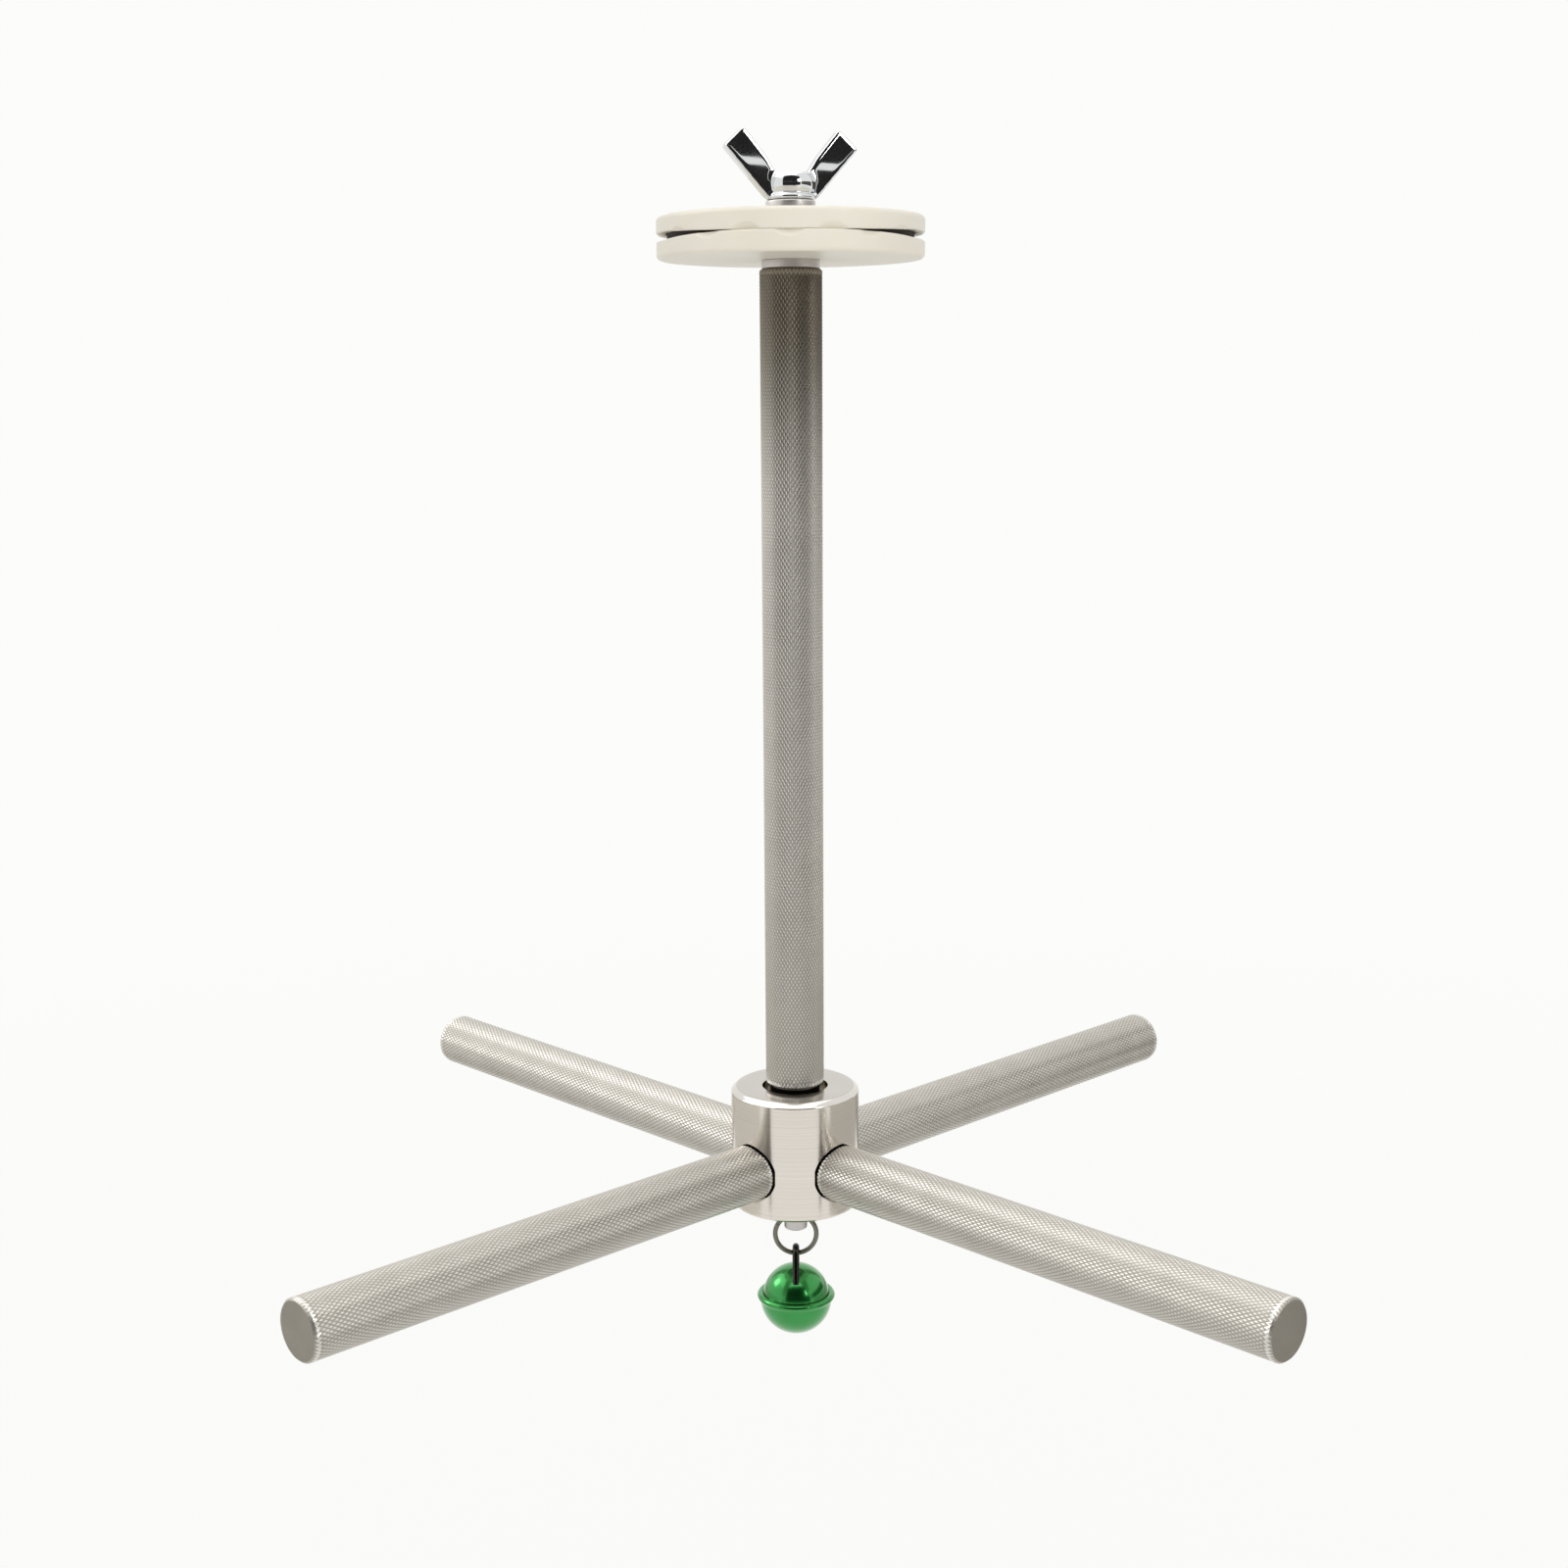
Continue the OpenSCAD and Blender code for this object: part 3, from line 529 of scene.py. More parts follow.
def clamp_disc(name, first_dimple):
    """A disc with its outer face at z = 0 and its lip at the top."""
    disc = turned(name, close_set(rounded([
        (disc_bore_d / 2, 0, 0.3 * mm), (disc_r, 0, 0.9 * mm), (disc_r, disc_t, 0.4 * mm),
        (disc_r - lip_w, disc_t, 0.25 * mm), (disc_r - lip_w, disc_t - pad_t, 0.1 * mm),
        (disc_bore_d / 2, disc_t - pad_t, 0.3 * mm)]), 0.2 * mm), cream, sides=720)
    # The ball that cuts a dimple is centred outside and above the rim's corner
    out = (dimple_w ** 2 / 4 - dimple_depth ** 2) / (2 * dimple_depth)
    up = (dimple_w ** 2 / 4 - dimple_h ** 2) / (2 * dimple_h)
    ball_r = math.hypot(out, up, dimple_w / 2)
    pitch = math.tau / dimple_count
    for point in disc.data.vertices:
        p = point.co
        sink = min(max((relief_mouth - abs(p.y)) / relief_ramp, 0), 1) * lip_relief
        share = min(max((p.z - 1.4 * mm) / (disc_t - 1.4 * mm), 0), 1)
        if math.hypot(p.x, p.y) > disc_r - lip_w - 0.05 * mm:
            p.z -= sink * share
        nearest = first_dimple + pitch * round((math.atan2(p.y, p.x) - first_dimple) / pitch)
        centre = Vector(((disc_r + out) * math.cos(nearest), (disc_r + out) * math.sin(nearest), disc_t + up))
        if (p - centre).length < ball_r:
            point.co = centre + (p - centre).normalized() * ball_r
    crease(disc, 50)
    return disc


lower_disc = clamp_disc("clamp_disc_lower", -math.pi / 2)
lower_disc.data.transform(Matrix.Translation((0, 0, -disc_t)))
dress(lower_disc, "lower_disc", "stem")

upper_disc = clamp_disc("clamp_disc_upper", math.pi / 2 + math.pi / dimple_count)
upper_disc.data.transform(Matrix.Translation((0, 0, disc_t)) @ Matrix.Rotation(math.pi, 4, "X"))
dress(upper_disc, "upper_disc", "upper_clamp")


# Pads: black rubber washers, punched from sheet and pressed into the discs' pockets, where they
# grip the cage wires.
def black_rubber():
    """Nitrile rubber sheet: nearly black, with a dull skin and fine talc."""
    made, tree, shader, place = start_finish("black_nitrile_rubber", 0.0)
    # Talc in specks of 0.6 mm
    talc = add(tree, "ShaderNodeTexNoise", {"Vector": place, "Scale": 1700.0, "Detail": 4.0})
    tone(tree, shader, talc, "#241E1B", "#3D3531", dullness=0.75)
    bump = add(tree, "ShaderNodeBump", {"Height": talc, "Strength": 0.3, "Distance": 0.03 * mm})
    plug(tree, shader, {"Normal": bump})
    return made


rubber = black_rubber()
for node, body in (("lower_pad", "stem"), ("upper_pad", "upper_clamp")):
    washer("rubber_" + node, node, body, disc_bore_d, 0.1 * mm, rubber)


# Spring washer: one turn of square spring wire, split on the slant and plated. It is pressed
# nearly flat under the nut.
def cut_away(piece, cutter, operation="DIFFERENCE"):
    """Cuts a shape out of a piece, or joins it on, and deletes that shape."""
    step = piece.modifiers.new("cut", "BOOLEAN")
    step.operation = operation
    step.solver = "EXACT"
    step.object = cutter
    settle(piece)
    bpy.data.objects.remove(cutter)


def block(size, matrix):
    """A box of this size, used to cut other pieces."""
    shape = bmesh.new()
    bmesh.ops.create_cube(shape, size=1.0, matrix=matrix @ Matrix.Diagonal((*size, 1)))
    return piece_of("block", shape)


low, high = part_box("spring_washer")
spring_washer = turned("split_spring_washer", rounded([
    (tapped_hole_d / 2, low.z, 0.2 * mm), (high.x, low.z, 0.2 * mm), (high.x, high.z, 0.35 * mm),
    (tapped_hole_d / 2, high.z, 0.2 * mm)]), zinc)
split = Matrix.Translation((5 * mm, 0, low.z)) @ Matrix.Rotation(math.radians(25), 4, "X")
cut_away(spring_washer, block((10 * mm, 0.6 * mm, 8 * mm), split))
crease(spring_washer)
dress(spring_washer, "spring_washer", "upper_clamp")


# Wing nut: cast in one piece with a round boss and two flat wings, tapped M6 and chrome plated,
# so that its faces are mirrors with soft edges.
def chrome_plate():
    """Chrome on a polished casting: a mirror with a few faint hairlines."""
    made, tree, shader, place = start_finish("polished_chrome_plate", 1.0)
    # Wipe marks about 4 mm across
    wiped = add(tree, "ShaderNodeTexNoise", {"Vector": place, "Scale": 250.0, "Detail": 5.0})
    tone(tree, shader, wiped, "#D8DADC", "#E4E5E6", dullness=(0.0, 0.03))
    return made


boss_r = 4.7 * mm
boss_h = 5.2 * mm
foot_h = 0.9 * mm
wing_t = 2.6 * mm
wing_turn = math.radians(20)
# In millimetres: how far from the axis, and how high above the nut's foot
wing_outline = [(1.0, 0.3), (4.4, 0.0), (5.2, 0.5), (13.3, 9.3), (13.35, 9.9), (10.1, 12.9),
                (9.5, 13.1), (7.0, 10.2), (5.0, 7.8), (4.0, 6.2), (3.2, 5.3), (1.0, 4.6)]
nut_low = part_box("wing_nut")[0]
belly_z, belly_h = (foot_h + boss_h) / 2, (boss_h - foot_h) / 2
belly = [(3.4 * mm + 1.2 * mm * math.cos(a), belly_z + belly_h * math.sin(a), 0)
         for a in (math.radians(15 * k) for k in range(-4, 7))]
chrome = chrome_plate()
nut = turned("chrome_wing_nut", rounded([
    (3.05 * mm, 0, 0.25 * mm), (boss_r, 0, 0.4 * mm), (boss_r, foot_h, 0.2 * mm)] + belly
    + [(3.05 * mm, boss_h, 0.2 * mm)]), chrome)
for flip in (1, -1):
    shape = bmesh.new()
    faces = []
    for y in (-wing_t / 2, wing_t / 2):
        faces.append([shape.verts.new((flip * x * mm, y, z * mm)) for x, z in wing_outline])
        shape.faces.new(faces[-1])
    for k in range(len(wing_outline)):
        shape.faces.new((faces[0][k - 1], faces[0][k], faces[1][k], faces[1][k - 1]))
    bmesh.ops.recalc_face_normals(shape, faces=shape.faces)
    cut_away(nut, piece_of("wing", shape), "UNION")
# Casting and polishing leave no sharp edge, so the skin is laid again in fine squares and smoothed
skin = nut.modifiers.new("cast_skin", "REMESH")
skin.mode = "VOXEL"
skin.voxel_size = 0.13 * mm
polish = nut.modifiers.new("polished_edges", "SMOOTH")
polish.factor = 0.5
polish.iterations = 50
settle(nut)
nut.data.materials.clear()
nut.data.materials.append(chrome)
nut.data.transform(Matrix.Translation((0, 0, nut_low.z)) @ Matrix.Rotation(wing_turn, 4, "Z"))
crease(nut, 60)
dress(nut, "wing_nut", "nut")


# Hub: turned from stainless bar and brushed in the lathe, so its marks run round it. Its upper
# rim has a polished chamfer, its cup takes the post's end, and four flat seats take the arms.
def brushed_stainless():
    """Stainless steel brushed as it turned: a satin sheen in fine rings, warm grey."""
    made, tree, shader, place = start_finish("turned_brushed_stainless", 1.0)
    # The brush marks are rings, so they depend on the distance from the axis and on the height alone
    height = add(tree, "ShaderNodeSeparateXYZ", {0: place}).outputs["Z"]
    ring = add(tree, "ShaderNodeCombineXYZ", {"X": off_axis(tree, place), "Y": height})
    # Marks 0.3 mm apart, where the real ones are finer. They spread a reflection up and down and
    # leave it sharp from side to side.
    marks = add(tree, "ShaderNodeTexNoise", {"Vector": ring, "Scale": 3400.0, "Detail": 2.0})
    bump = add(tree, "ShaderNodeBump", {"Height": marks, "Strength": 0.35, "Distance": 0.02 * mm})
    side = add(tree, "ShaderNodeMix", {0: marks, 6: linear("#CDC6BD"), 7: linear("#F0E9E1")},
               data_type="RGBA")
    # The upper end is painted darker than the side, a painted shade for the darker reflection it shows, with
    # clouds about 8 mm across
    cloud = add(tree, "ShaderNodeTexNoise", {"Vector": place, "Scale": 120.0, "Detail": 3.0})
    painted_dark_top = add(tree, "ShaderNodeMix", {0: cloud, 6: linear("#C6C2BC"), 7: linear("#D0CCC6")},
                data_type="RGBA")
    normal = add(tree, "ShaderNodeNewGeometry").outputs["True Normal"]
    upward = add(tree, "ShaderNodeSeparateXYZ", {0: normal}).outputs["Z"]
    top_face_mask = add(tree, "ShaderNodeMath", {0: upward, 1: 0.9}, operation="GREATER_THAN")
    colour = add(tree, "ShaderNodeMix", {0: top_face_mask, 6: side, 7: painted_dark_top}, data_type="RGBA")
    dullness = add(tree, "ShaderNodeMapRange", {"Value": marks, "To Min": 0.12, "To Max": 0.2})
    plug(tree, shader, {"Base Color": colour, "Roughness": dullness, "Normal": bump})
    return made


def polished_stainless():
    """Stainless steel polished on a buff: nearly a mirror, with faint hairlines."""
    made, tree, shader, place = start_finish("polished_stainless", 1.0)
    # Hairlines 0.7 mm apart
    hairlines = add(tree, "ShaderNodeTexNoise", {"Vector": place, "Scale": 1500.0, "Detail": 3.0})
    tone(tree, shader, hairlines, "#D6D2CD", "#E2DFDA", dullness=(0.1, 0.16))
    return made


def drill(radius, start, end, material, sides=160):
    """A plain rod along Z from start to end, used to cut a round hole."""
    return turned("drill", [Vector(p) for p in ((0, start), (radius, start), (radius, end), (0, end))],
                  material, sides)


hub_low, hub_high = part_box("hub")
hub_r = hub_high.x
hub_chamfer = 1.0 * mm
foot_chamfer = 0.5 * mm
cup_r = 6.9 * mm
cup_floor = hub_high.z - 4.5 * mm
well_r = 6.3 * mm
well_roof = hub_low.z + 3.6 * mm
core_r = 3.3 * mm
socket_d = 12.7 * mm
hub = turned("turned_hub", rounded([
    (well_r, hub_low.z, 0.2 * mm), (hub_r - foot_chamfer, hub_low.z, 0.15 * mm),
    (hub_r, hub_low.z + foot_chamfer, 0.15 * mm), (hub_r, hub_high.z - hub_chamfer, 0.35 * mm),
    (hub_r - hub_chamfer, hub_high.z, 1.5 * mm), (cup_r, hub_high.z, 0.25 * mm),
    (cup_r, cup_floor, 0.2 * mm), (core_r, cup_floor, 0), (core_r, well_roof, 0),
    (well_r, well_roof, 0.2 * mm)]), brushed_stainless(), sides=256)
for i in range(4):
    socket = drill(socket_d / 2, arm_seat, 2 * arm_seat, zinc)
    socket.data.transform(on_arm_axis(i))
    cut_away(hub, socket)
hub.data.materials.append(polished_stainless())
for face in hub.data.polygons:
    if face.center.xy.length > hub_r - hub_chamfer and face.center.z > hub_high.z - hub_chamfer:
        face.material_index = len(hub.data.materials) - 1
crease(hub, 25)
dress(hub, "hub", "perch_cross")


# Bushes: turned nylon sleeves with a flange, pressed into the hub's bore from both ends. The
# post's shoulder turns on the upper flange and the keeper washer on the lower one.
def turned_nylon():
    """Natural nylon: waxy off-white with a soft sheen."""
    made, tree, shader, place = start_finish("natural_nylon", 0.0)
    # Turning marks, drawn coarse at 0.3 mm so that they show
    marks = add(tree, "ShaderNodeTexNoise", {"Vector": place, "Scale": 3300.0, "Detail": 1.0})
    tone(tree, shader, marks, "#E8E4D8", "#F1EEE4", dullness=0.4)
    plug(tree, shader, {"Subsurface Weight": 0.2, "Subsurface Scale": 1 * mm})
    return made


nylon = turned_nylon()
bush_r = 4 * mm
bush_flange_t = 1.2 * mm
for node, flange_up in (("upper_bush", True), ("lower_bush", False)):
    low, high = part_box(node)
    bore, rim = tapped_hole_d / 2, high.x
    inner = high.z - bush_flange_t if flange_up else low.z + bush_flange_t
    face, foot = (high.z, low.z) if flange_up else (low.z, high.z)
    bush = turned("nylon_" + node, rounded([
        (bore, face, 0.2 * mm), (rim, face, 0.2 * mm), (rim, inner, 0.1 * mm), (bush_r, inner, 0),
        (bush_r, foot, 0.3 * mm), (bore, foot, 0.2 * mm)]), nylon)
    dress(bush, node, "perch_cross")


# Pivot pin: plated steel, screwed into the post's lower end. The hub turns on its plain shank, the
# snap ring sits in its groove, and its thinner end is cross drilled for the ring.
pin_low, pin_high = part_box("pivot_pin")
snap_low, snap_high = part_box("snap_ring")
stub_r = 2.5 * mm
shoulder_z = snap_low.z - 0.5 * mm
groove_r = 2.75 * mm
stub_hole_d = 2.4 * mm
stub_hole_z = pin_low.z + 2.6 * mm
pin = turned("pivot_pin_turned", rounded([
    (0, pin_high.z, 0), (stud_d / 2, pin_high.z, 0.4 * mm), (stud_d / 2, snap_high.z, 0),
    (groove_r, snap_high.z, 0), (groove_r, snap_low.z, 0), (stud_d / 2, snap_low.z, 0),
    (stud_d / 2, shoulder_z, 0.1 * mm), (stub_r, shoulder_z, 0), (stub_r, pin_low.z, 0.4 * mm),
    (0, pin_low.z, 0)]), zinc)
cross_hole = drill(stub_hole_d / 2, -stud_d, stud_d, zinc)
cross_hole.data.transform(Matrix.Translation((0, 0, stub_hole_z)) @ Matrix.Rotation(math.radians(90), 4, "Y"))
cut_away(pin, cross_hole)
crease(pin)
dress(pin, "pivot_pin", "stem")


# Snap ring: an open ring stamped from spring steel, oiled black, with an eye at each end for the
# pliers. It keeps the hub from dropping off the pin.
def black_oxide():
    """Blacked spring steel: dark grey brown and oiled, with worn spots."""
    made, tree, shader, place = start_finish("black_oxide_spring_steel", 0.8)
    # Worn spots about 1 mm across
    worn = add(tree, "ShaderNodeTexNoise", {"Vector": place, "Scale": 900.0, "Detail": 4.0})
    tone(tree, shader, worn, "#2E2B28", "#5A554F", dullness=0.38)
    return made


blacked = black_oxide()
snap_r = groove_r + 1.3 * mm
eye = Vector((snap_r - 0.2 * mm, 1.7 * mm, 0))
eye_r = 1.1 * mm
gap_w = 1.4 * mm


def flat_round(name, outer_r, inner_r, x, y):
    """A flat round blank or ring at the snap ring's level."""
    ring = turned(name, rounded([
        (inner_r, snap_low.z, 0.05 * mm), (outer_r, snap_low.z, 0.08 * mm), (outer_r, snap_high.z, 0.08 * mm),
        (inner_r, snap_high.z, 0.05 * mm)]), blacked, sides=96)
    ring.data.transform(Matrix.Translation((x, y, 0)))
    return ring


snap_ring = flat_round("snap_ring_stamped", snap_r, groove_r + 0.05 * mm, 0, 0)
for side in (1, -1):
    cut_away(snap_ring, flat_round("eye", eye_r, 0.45 * mm, eye.x, side * eye.y), "UNION")
level = Matrix.Translation((5 * mm, 0, (snap_low.z + snap_high.z) / 2))
cut_away(snap_ring, block((10 * mm, gap_w, 2 * mm), level))
crease(snap_ring)
dress(snap_ring, "snap_ring", "stem")


# Jump ring: nickel plated wire bent to a circle, with its ends pushed together at the upper left.
# It passes through the pin's cross hole.
def wire(name, path, across, radius, material, sides=24):
    """Sweeps a round wire along a flat path. across is the direction square to that path."""
    shape = bmesh.new()
    rings = []
    for k, here in enumerate(path):
        ahead = (path[min(k + 1, len(path) - 1)] - path[max(k - 1, 0)]).normalized()
        beside = ahead.cross(across)
        turns = [math.tau * s / sides for s in range(sides)]
        rings.append([shape.verts.new(here + radius * (math.cos(t) * across + math.sin(t) * beside))
                      for t in turns])
    for before, after in zip(rings, rings[1:]):
        for s in range(sides):
            shape.faces.new((before[s - 1], before[s], after[s], after[s - 1]))
    for end in (rings[0], rings[-1]):
        shape.faces.new(end)
    bmesh.ops.recalc_face_normals(shape, faces=shape.faces)
    piece = piece_of(name, shape, material)
    crease(piece, 40)
    return piece


def nickel_plate():
    """Nickel plated wire: a yellowish grey shine with fine drawing marks."""
    made, tree, shader, place = start_finish("nickel_plated_wire", 1.0)
    # Drawing marks about 1 mm long
    drawn = add(tree, "ShaderNodeTexNoise", {"Vector": place, "Scale": 900.0, "Detail": 3.0})
    tone(tree, shader, drawn, "#6C6B62", "#888679", dullness=(0.2, 0.4))
    return made


ring_low, ring_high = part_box("jump_ring")
ring_wire_r = 1.05 * mm / 2
ring_r = ring_high.x - ring_wire_r
ring_z = ring_low.z + ring_wire_r + ring_r
joint_at = math.radians(150)
joint_angle = 0.12 * mm / ring_r
ring_path = []
ring_steps = 144
for k in range(ring_steps + 1):
    a = joint_at + (math.tau - joint_angle) * k / ring_steps
    ring_path.append(Vector((ring_r * math.cos(a), 0, ring_z + ring_r * math.sin(a))))
jump_ring = wire("jump_ring_wire", ring_path, Vector((0, 1, 0)), ring_wire_r, nickel_plate())
dress(jump_ring, "jump_ring", "ring")


# Bell loop: a staple of heavier wire in black nickel. Its legs pass through the dome and are
# clenched inside.
def black_nickel():
    """Black nickel plate: a near-black mirror with worn, slightly brown patches."""
    made, tree, shader, place = start_finish("black_nickel_plate", 1.0)
    # Patches about 1.4 mm across
    worn = add(tree, "ShaderNodeTexNoise", {"Vector": place, "Scale": 700.0, "Detail": 4.0})
    tone(tree, shader, worn, "#2A2C29", "#4A4A43", dullness=0.09)
    return made


loop_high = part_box("bell_loop")[1]
loop_wire_r = 0.75 * mm
loop_r = 1.7 * mm
loop_z = loop_high.z - loop_wire_r - loop_r
dome_low, dome_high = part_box("bell_dome")
dome_z = dome_low.z
dome_r = dome_high.z - dome_z
foot_y = 4.2 * mm
foot_z = dome_z + math.sqrt(dome_r ** 2 - foot_y ** 2)
foot_run = math.hypot(foot_y, foot_z - loop_z)
splay = math.acos(loop_r / foot_run) + math.atan2(foot_z - loop_z, foot_y)
leg_l = math.sqrt(foot_run ** 2 - loop_r ** 2) + 1.5 * mm
along_leg = Vector((0, math.sin(splay), -math.cos(splay)))
loop_path = []
loop_steps = 40
leg_steps = 12
for k in range(loop_steps + 1):
    a = splay + (math.pi - 2 * splay) * k / loop_steps
    loop_path.append(Vector((0, loop_r * math.cos(a), loop_z + loop_r * math.sin(a))))
right_leg = [loop_path[0] + along_leg * leg_l * (1 - k / leg_steps) for k in range(leg_steps)]
left_leg = [Vector((0, -p.y, p.z)) for p in reversed(right_leg)]
bell_loop = wire("bell_loop_wire", right_leg + loop_path + left_leg, Vector((1, 0, 0)), loop_wire_r,
                 black_nickel(), sides=32)
dress(bell_loop, "bell_loop", "bell")


# Bell: two halves pressed from thin steel. The lower one's edge is rolled over the upper one's
# flange, and clear green lacquer over the bright metal gives both their colour.
def green_lacquer():
    """Clear green lacquer on polished steel: deep green with pale green highlights under a gloss."""
    made, tree, shader, place = start_finish("green_lacquered_steel", 1.0)
    # The lacquer is a little thicker in patches of about 3 mm
    pooled = add(tree, "ShaderNodeTexNoise", {"Vector": place, "Scale": 330.0, "Detail": 2.0})
    tone(tree, shader, pooled, "#1D8A35", "#2C9A45", dullness=(0.22, 0.28))
    plug(tree, shader, {"Coat Weight": 1.0, "Coat Roughness": 0.12})
    return made


def arc(radius, centre_z, start, end, steps):
    """Points round a circle centred on the axis, by angle from straight up."""
    angles = [math.radians(start + (end - start) * k / steps) for k in range(steps + 1)]
    return [Vector((radius * math.sin(a), centre_z + radius * math.cos(a))) for a in angles]


bell_wall = 0.5 * mm
seam_r = 8.4 * mm
seam_bead = 0.75 * mm
lacquer = green_lacquer()
dome_edge = math.degrees(math.acos(bell_wall / dome_r))
dome = turned("bell_dome_pressed", arc(dome_r, dome_z, 0, dome_edge, 40) + [
    Vector((dome_high.x, dome_z + bell_wall)), Vector((dome_high.x, dome_z))]
    + arc(dome_r - bell_wall, dome_z, 90, 0, 32), lacquer)
dress(dome, "bell_dome", "bell")

bowl_r = 7.7 * mm
bowl_z = dome_z - 0.5 * mm
bead_z = dome_z + bell_wall / 2
play = 0.05 * mm
# The bead is a round of metal that stands on the bowl's edge and turns in over the flange
bead = [Vector((seam_r - seam_bead + seam_bead * math.cos(math.radians(a)),
                bead_z + seam_bead * math.sin(math.radians(a)))) for a in range(-78, 112, 9)]
bowl = turned("bell_bowl_pressed", arc(bowl_r, bowl_z, 180, 92, 36) + bead + [
    Vector((dome_r + play, bead_z + 0.66 * mm)), Vector((dome_r + play, dome_z + bell_wall + play)),
    Vector((dome_high.x + play, dome_z + bell_wall + play)), Vector((dome_high.x + play, dome_z - play))]
    + arc(bowl_r - bell_wall, bowl_z, 86, 180, 32), lacquer)
slot_angle = math.radians(52)
slot_hole_r = 1.5 * mm
slot_top = bowl_z - bowl_r * math.cos(slot_angle) + slot_hole_r * math.sin(slot_angle)
slot_half = bowl_r * math.sin(slot_angle)
cut_away(bowl, block((2 * slot_half, 1.6 * mm, bowl_r), Matrix.Translation((0, 0, slot_top - bowl_r / 2))))
for side in (1, -1):
    hole = drill(slot_hole_r, 0, 2 * bowl_r, lacquer, sides=48)
    hole.data.transform(Matrix.Translation((0, 0, bowl_z))
                        @ Matrix.Rotation(math.pi + side * slot_angle, 4, "Y"))
    cut_away(bowl, hole)
crease(bowl, 35)
dress(bowl, "bell_bowl", "bell")


# Rattle: a loose bearing ball that rolls on the bowl's floor.
ball_low, ball_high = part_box("bell_ball")
ball_r = 2 * mm
ball = turned("rattle_ball", arc(ball_r, (ball_low.z + ball_high.z) / 2, 0, 180, 24), zinc, sides=48)
crease(ball, 60)
dress(ball, "bell_ball", "ball")


# Studio: a pale floor well below the hanging perch, a wide soft box overhead, a fill in front and a
# small box on each side. Cloth flags give the bare metal something dark to mirror: behind the camera
# two black ones leave a strip of the white room between them.
def white_when_seen(tree):
    """1 for rays from the camera, a mirror or glass, which see the background as it is."""
    path = add(tree, "ShaderNodeLightPath").outputs
    seen = add(tree, "ShaderNodeMath", {0: path["Is Camera Ray"], 1: path["Is Glossy Ray"]},
               operation="MAXIMUM")
    return add(tree, "ShaderNodeMath", {0: seen, 1: path["Is Transmission Ray"]}, operation="MAXIMUM")


world = bpy.data.worlds.new("studio")
bpy.context.scene.world = world
world.use_nodes = True
room_white = linear("#FCFCFA")
level = add(world.node_tree, "ShaderNodeMapRange", {
    "Value": white_when_seen(world.node_tree), "To Min": 0.55, "To Max": 1.0})
plug(world.node_tree, world.node_tree.nodes["Background"], {"Color": room_white, "Strength": level})


def sheet_of(name, width, depth, matrix, material):
    """A flat stage sheet of this size."""
    shape = bmesh.new()
    bmesh.ops.create_grid(shape, x_segments=1, y_segments=1, size=0.5,
                          matrix=matrix @ Matrix.Diagonal((width, depth, 1, 1)))
    sheet = piece_of(name, shape, material)
    return sheet


def white_paper():
    """White paper: a faint soft shadow under the perch, and pure white further out."""
    made, tree, shader, place = start_finish("white_paper_floor", 0.0)
    # Grain of 2.5 mm
    grain = add(tree, "ShaderNodeTexNoise", {"Vector": place, "Scale": 400.0})
    tone(tree, shader, grain, "#EDEDEA", "#F1F1EE", dullness=0.9)
    glow = add(tree, "ShaderNodeEmission", {"Color": room_white, "Strength": 1.0})
    fade = add(tree, "ShaderNodeMapRange", {
        "Value": off_axis(tree, place), "From Min": 0.15, "From Max": 0.9, "To Min": 0.93, "To Max": 1.0})
    share = add(tree, "ShaderNodeMath", {0: white_when_seen(tree), 1: fade}, operation="MULTIPLY")
    mixed = add(tree, "ShaderNodeMixShader", {0: share, 1: shader, 2: glow})
    plug(tree, tree.nodes["Material Output"], {"Surface": mixed})
    return made


def flag_cloth(name, dark, light):
    """Studio cloth: dull and slightly uneven."""
    made, tree, shader, place = start_finish(name, 0.0)
    # Uneven patches of 25 mm
    weave = add(tree, "ShaderNodeTexNoise", {"Vector": place, "Scale": 40.0})
    tone(tree, shader, weave, dark, light, dullness=1.0)
    return made


def flag(name, x, y, turn, width, low_z, high_z, cloth):
    """An upright cloth that only shows in what shines."""
    upright = (Matrix.Translation((x, y, (low_z + high_z) / 2)) @ Matrix.Rotation(math.radians(turn), 4, "Z")
               @ Matrix.Rotation(math.radians(90), 4, "X"))
    sheet = sheet_of(name, width, high_z - low_z, upright, cloth)
    sheet.visible_camera = sheet.visible_diffuse = sheet.visible_shadow = False


floor_z = cad_box[0].z - 0.12
sheet_of("floor", 8.0, 8.0, Matrix.Translation((0, 0, floor_z)), white_paper())
black_cloth = flag_cloth("black_flag_cloth", "#161616", "#242322")
dark_cloth = flag_cloth("dark_grey_flag_cloth", "#55514C", "#605C56")
pale_cloth = flag_cloth("pale_grey_flag_cloth", "#F0EEEA", "#F6F4F0")
grey_cloth = flag_cloth("grey_flag_cloth", "#D2D0CC", "#DAD8D4")
flag("lower_flag", 0.3, -1.3, 0, 2.6, floor_z, 0.185, black_cloth)
flag("upper_flag", 0.3, -1.3, 0, 2.6, 0.1917, 1.5, black_cloth)
flag("right_high_flag", 1.4, 0, 90, 1.8, -0.12, 0.24, dark_cloth)
for side, name, cloth in ((-1, "left", pale_cloth), (1, "right", grey_cloth)):
    flag(name + "_low_flag", 0.3 * side, 0.3, 90, 0.9, floor_z, -0.22, cloth)
    flag(name + "_edge_flag", 0.25 * side, -0.25, 45 * side, 0.02, floor_z, -0.2, black_cloth)


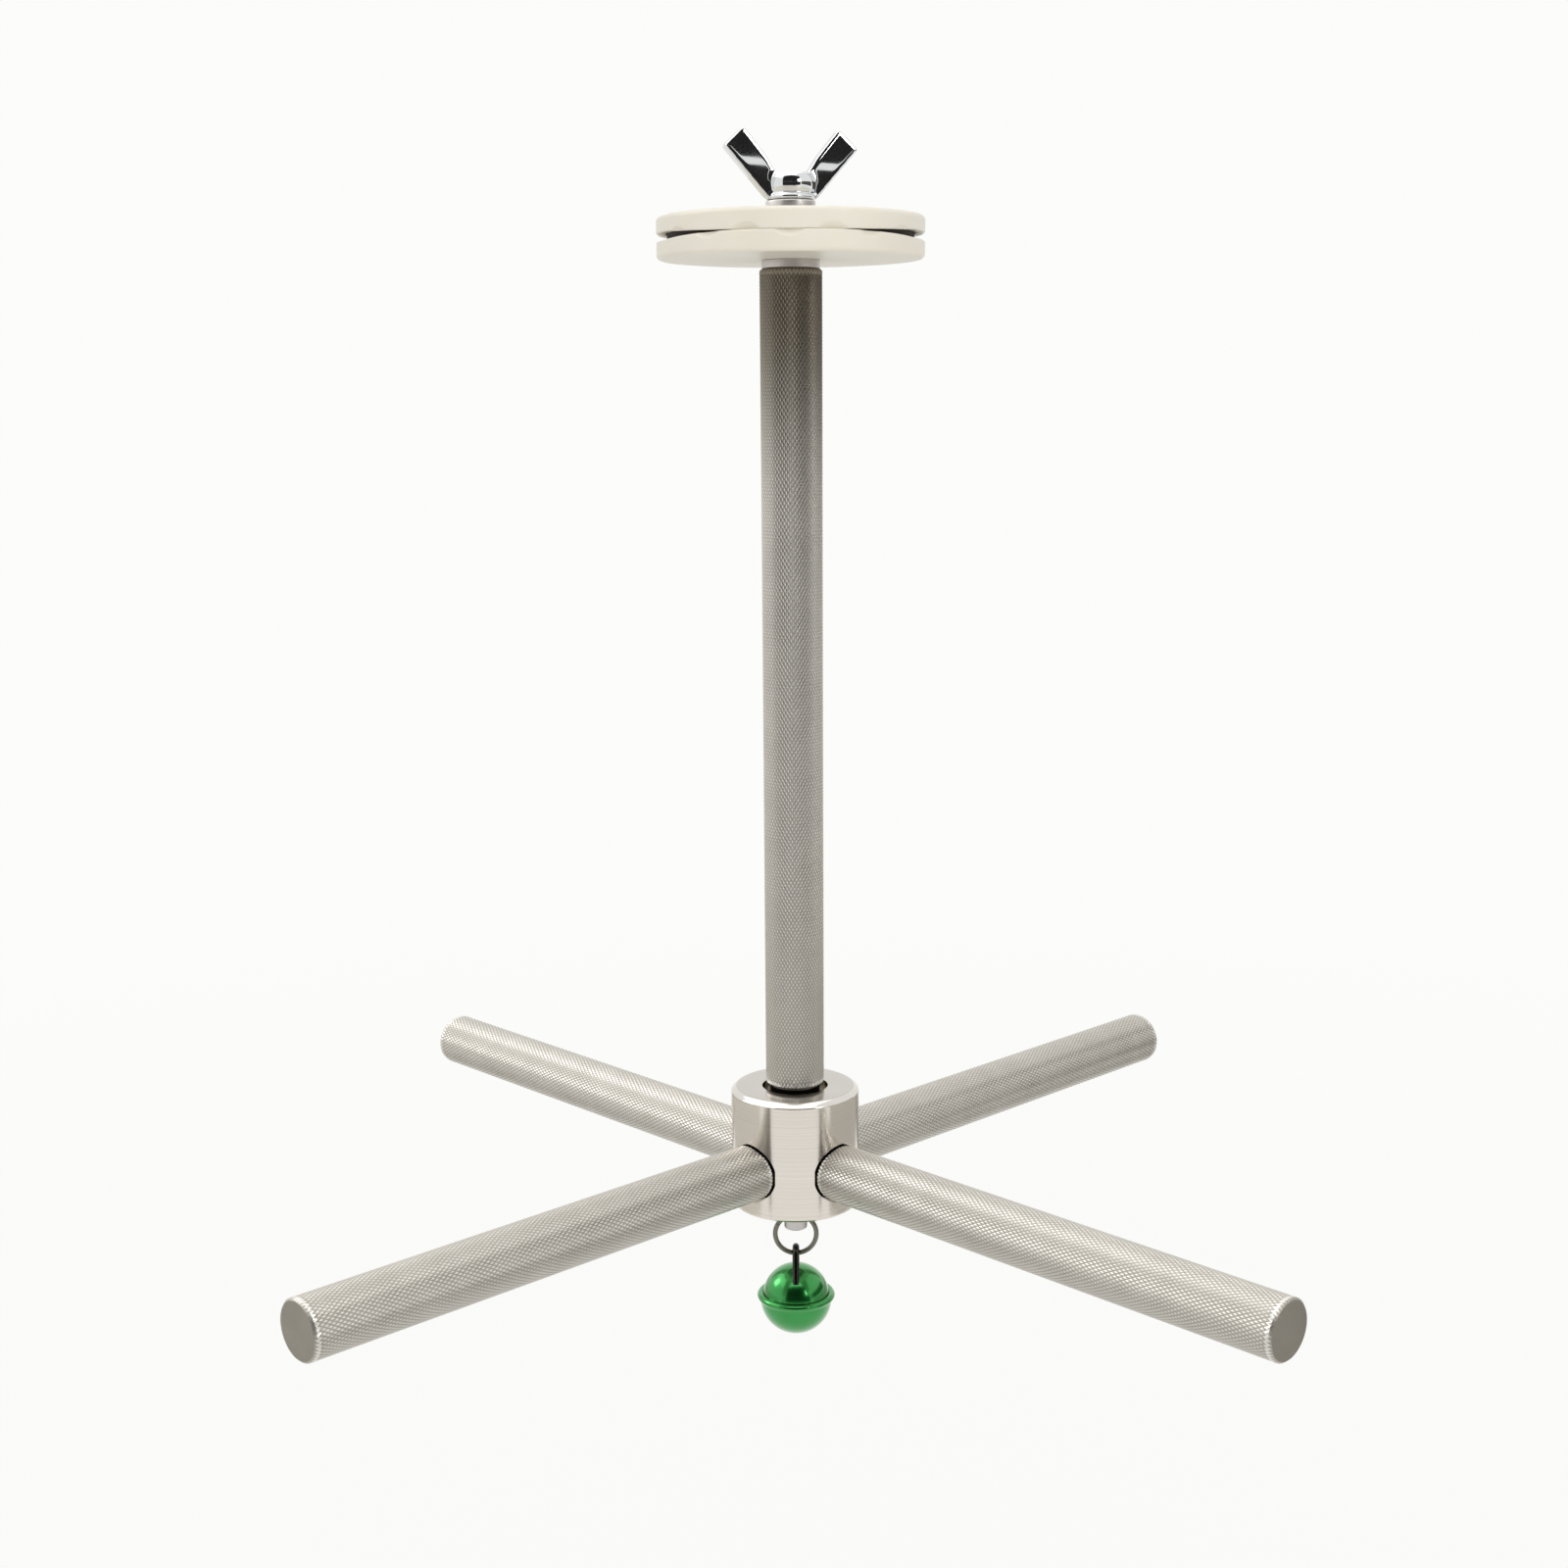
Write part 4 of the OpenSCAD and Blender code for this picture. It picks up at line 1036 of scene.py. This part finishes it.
def soft_box(name, place, target, size, brightness, lights=True, shines=True):
    """A square soft box that points at target. Its brightness is its radiance. It may only light
    the perch, or only shine in its metal."""
    lamp = bpy.data.lights.new(name, "AREA")
    lamp.size = size
    lamp.energy = math.pi * size ** 2 * brightness
    box = bpy.data.objects.new(name, lamp)
    box.visible_diffuse, box.visible_glossy = lights, shines
    box.matrix_world = Matrix.Translation(place) @ (Vector(target) - Vector(place)).to_track_quat(
        "-Z", "Y").to_matrix().to_4x4()
    bpy.context.scene.collection.objects.link(box)


middle = Vector((0, 0, (cad_box[0].z + cad_box[1].z) / 2))
soft_box("overhead_box", (-0.25, 0, 0.95), middle, 1.8, 0.75)
soft_box("overhead_sheen", (-0.25, 0, 0.95), middle, 1.8, 0.8, lights=False)
soft_box("front_fill", (-0.1, -1.2, 0.2), middle, 0.6, 2.2, shines=False)
soft_box("left_box", (-0.98, 0.2, 0.42), middle, 0.36, 4.5, lights=False)
soft_box("right_box", (0.75, -0.75, 0.3), middle, 0.28, 7.0)


# Camera: where the photograph's vanishing lines and sizes put it, level with the post's upper part
# and 425 mm in front of it.
camera_data = bpy.data.cameras.new("camera")
camera = bpy.data.objects.new("camera", camera_data)
bpy.context.scene.collection.objects.link(camera)
bpy.context.scene.camera = camera
camera_data.sensor_width = 36.0
camera_data.lens = 48.28
camera_data.shift_y = 0.0644
camera_data.clip_start = 0.01
camera_place = Vector((3.86, -425.0, -30.36)) * mm
pitch, yaw, roll = math.radians(13.0), math.radians(-0.8), math.radians(-0.36)
ahead = Vector((math.sin(yaw) * math.cos(pitch), math.cos(yaw) * math.cos(pitch), -math.sin(pitch)))
level_right = Vector((math.cos(yaw), -math.sin(yaw), 0))
level_up = level_right.cross(ahead)
right = math.cos(roll) * level_right + math.sin(roll) * level_up
up = math.cos(roll) * level_up - math.sin(roll) * level_right
camera.matrix_world = Matrix.Translation(camera_place) @ Matrix((right, up, -ahead)).transposed().to_4x4()

bpy.context.scene.view_settings.view_transform = "Standard"
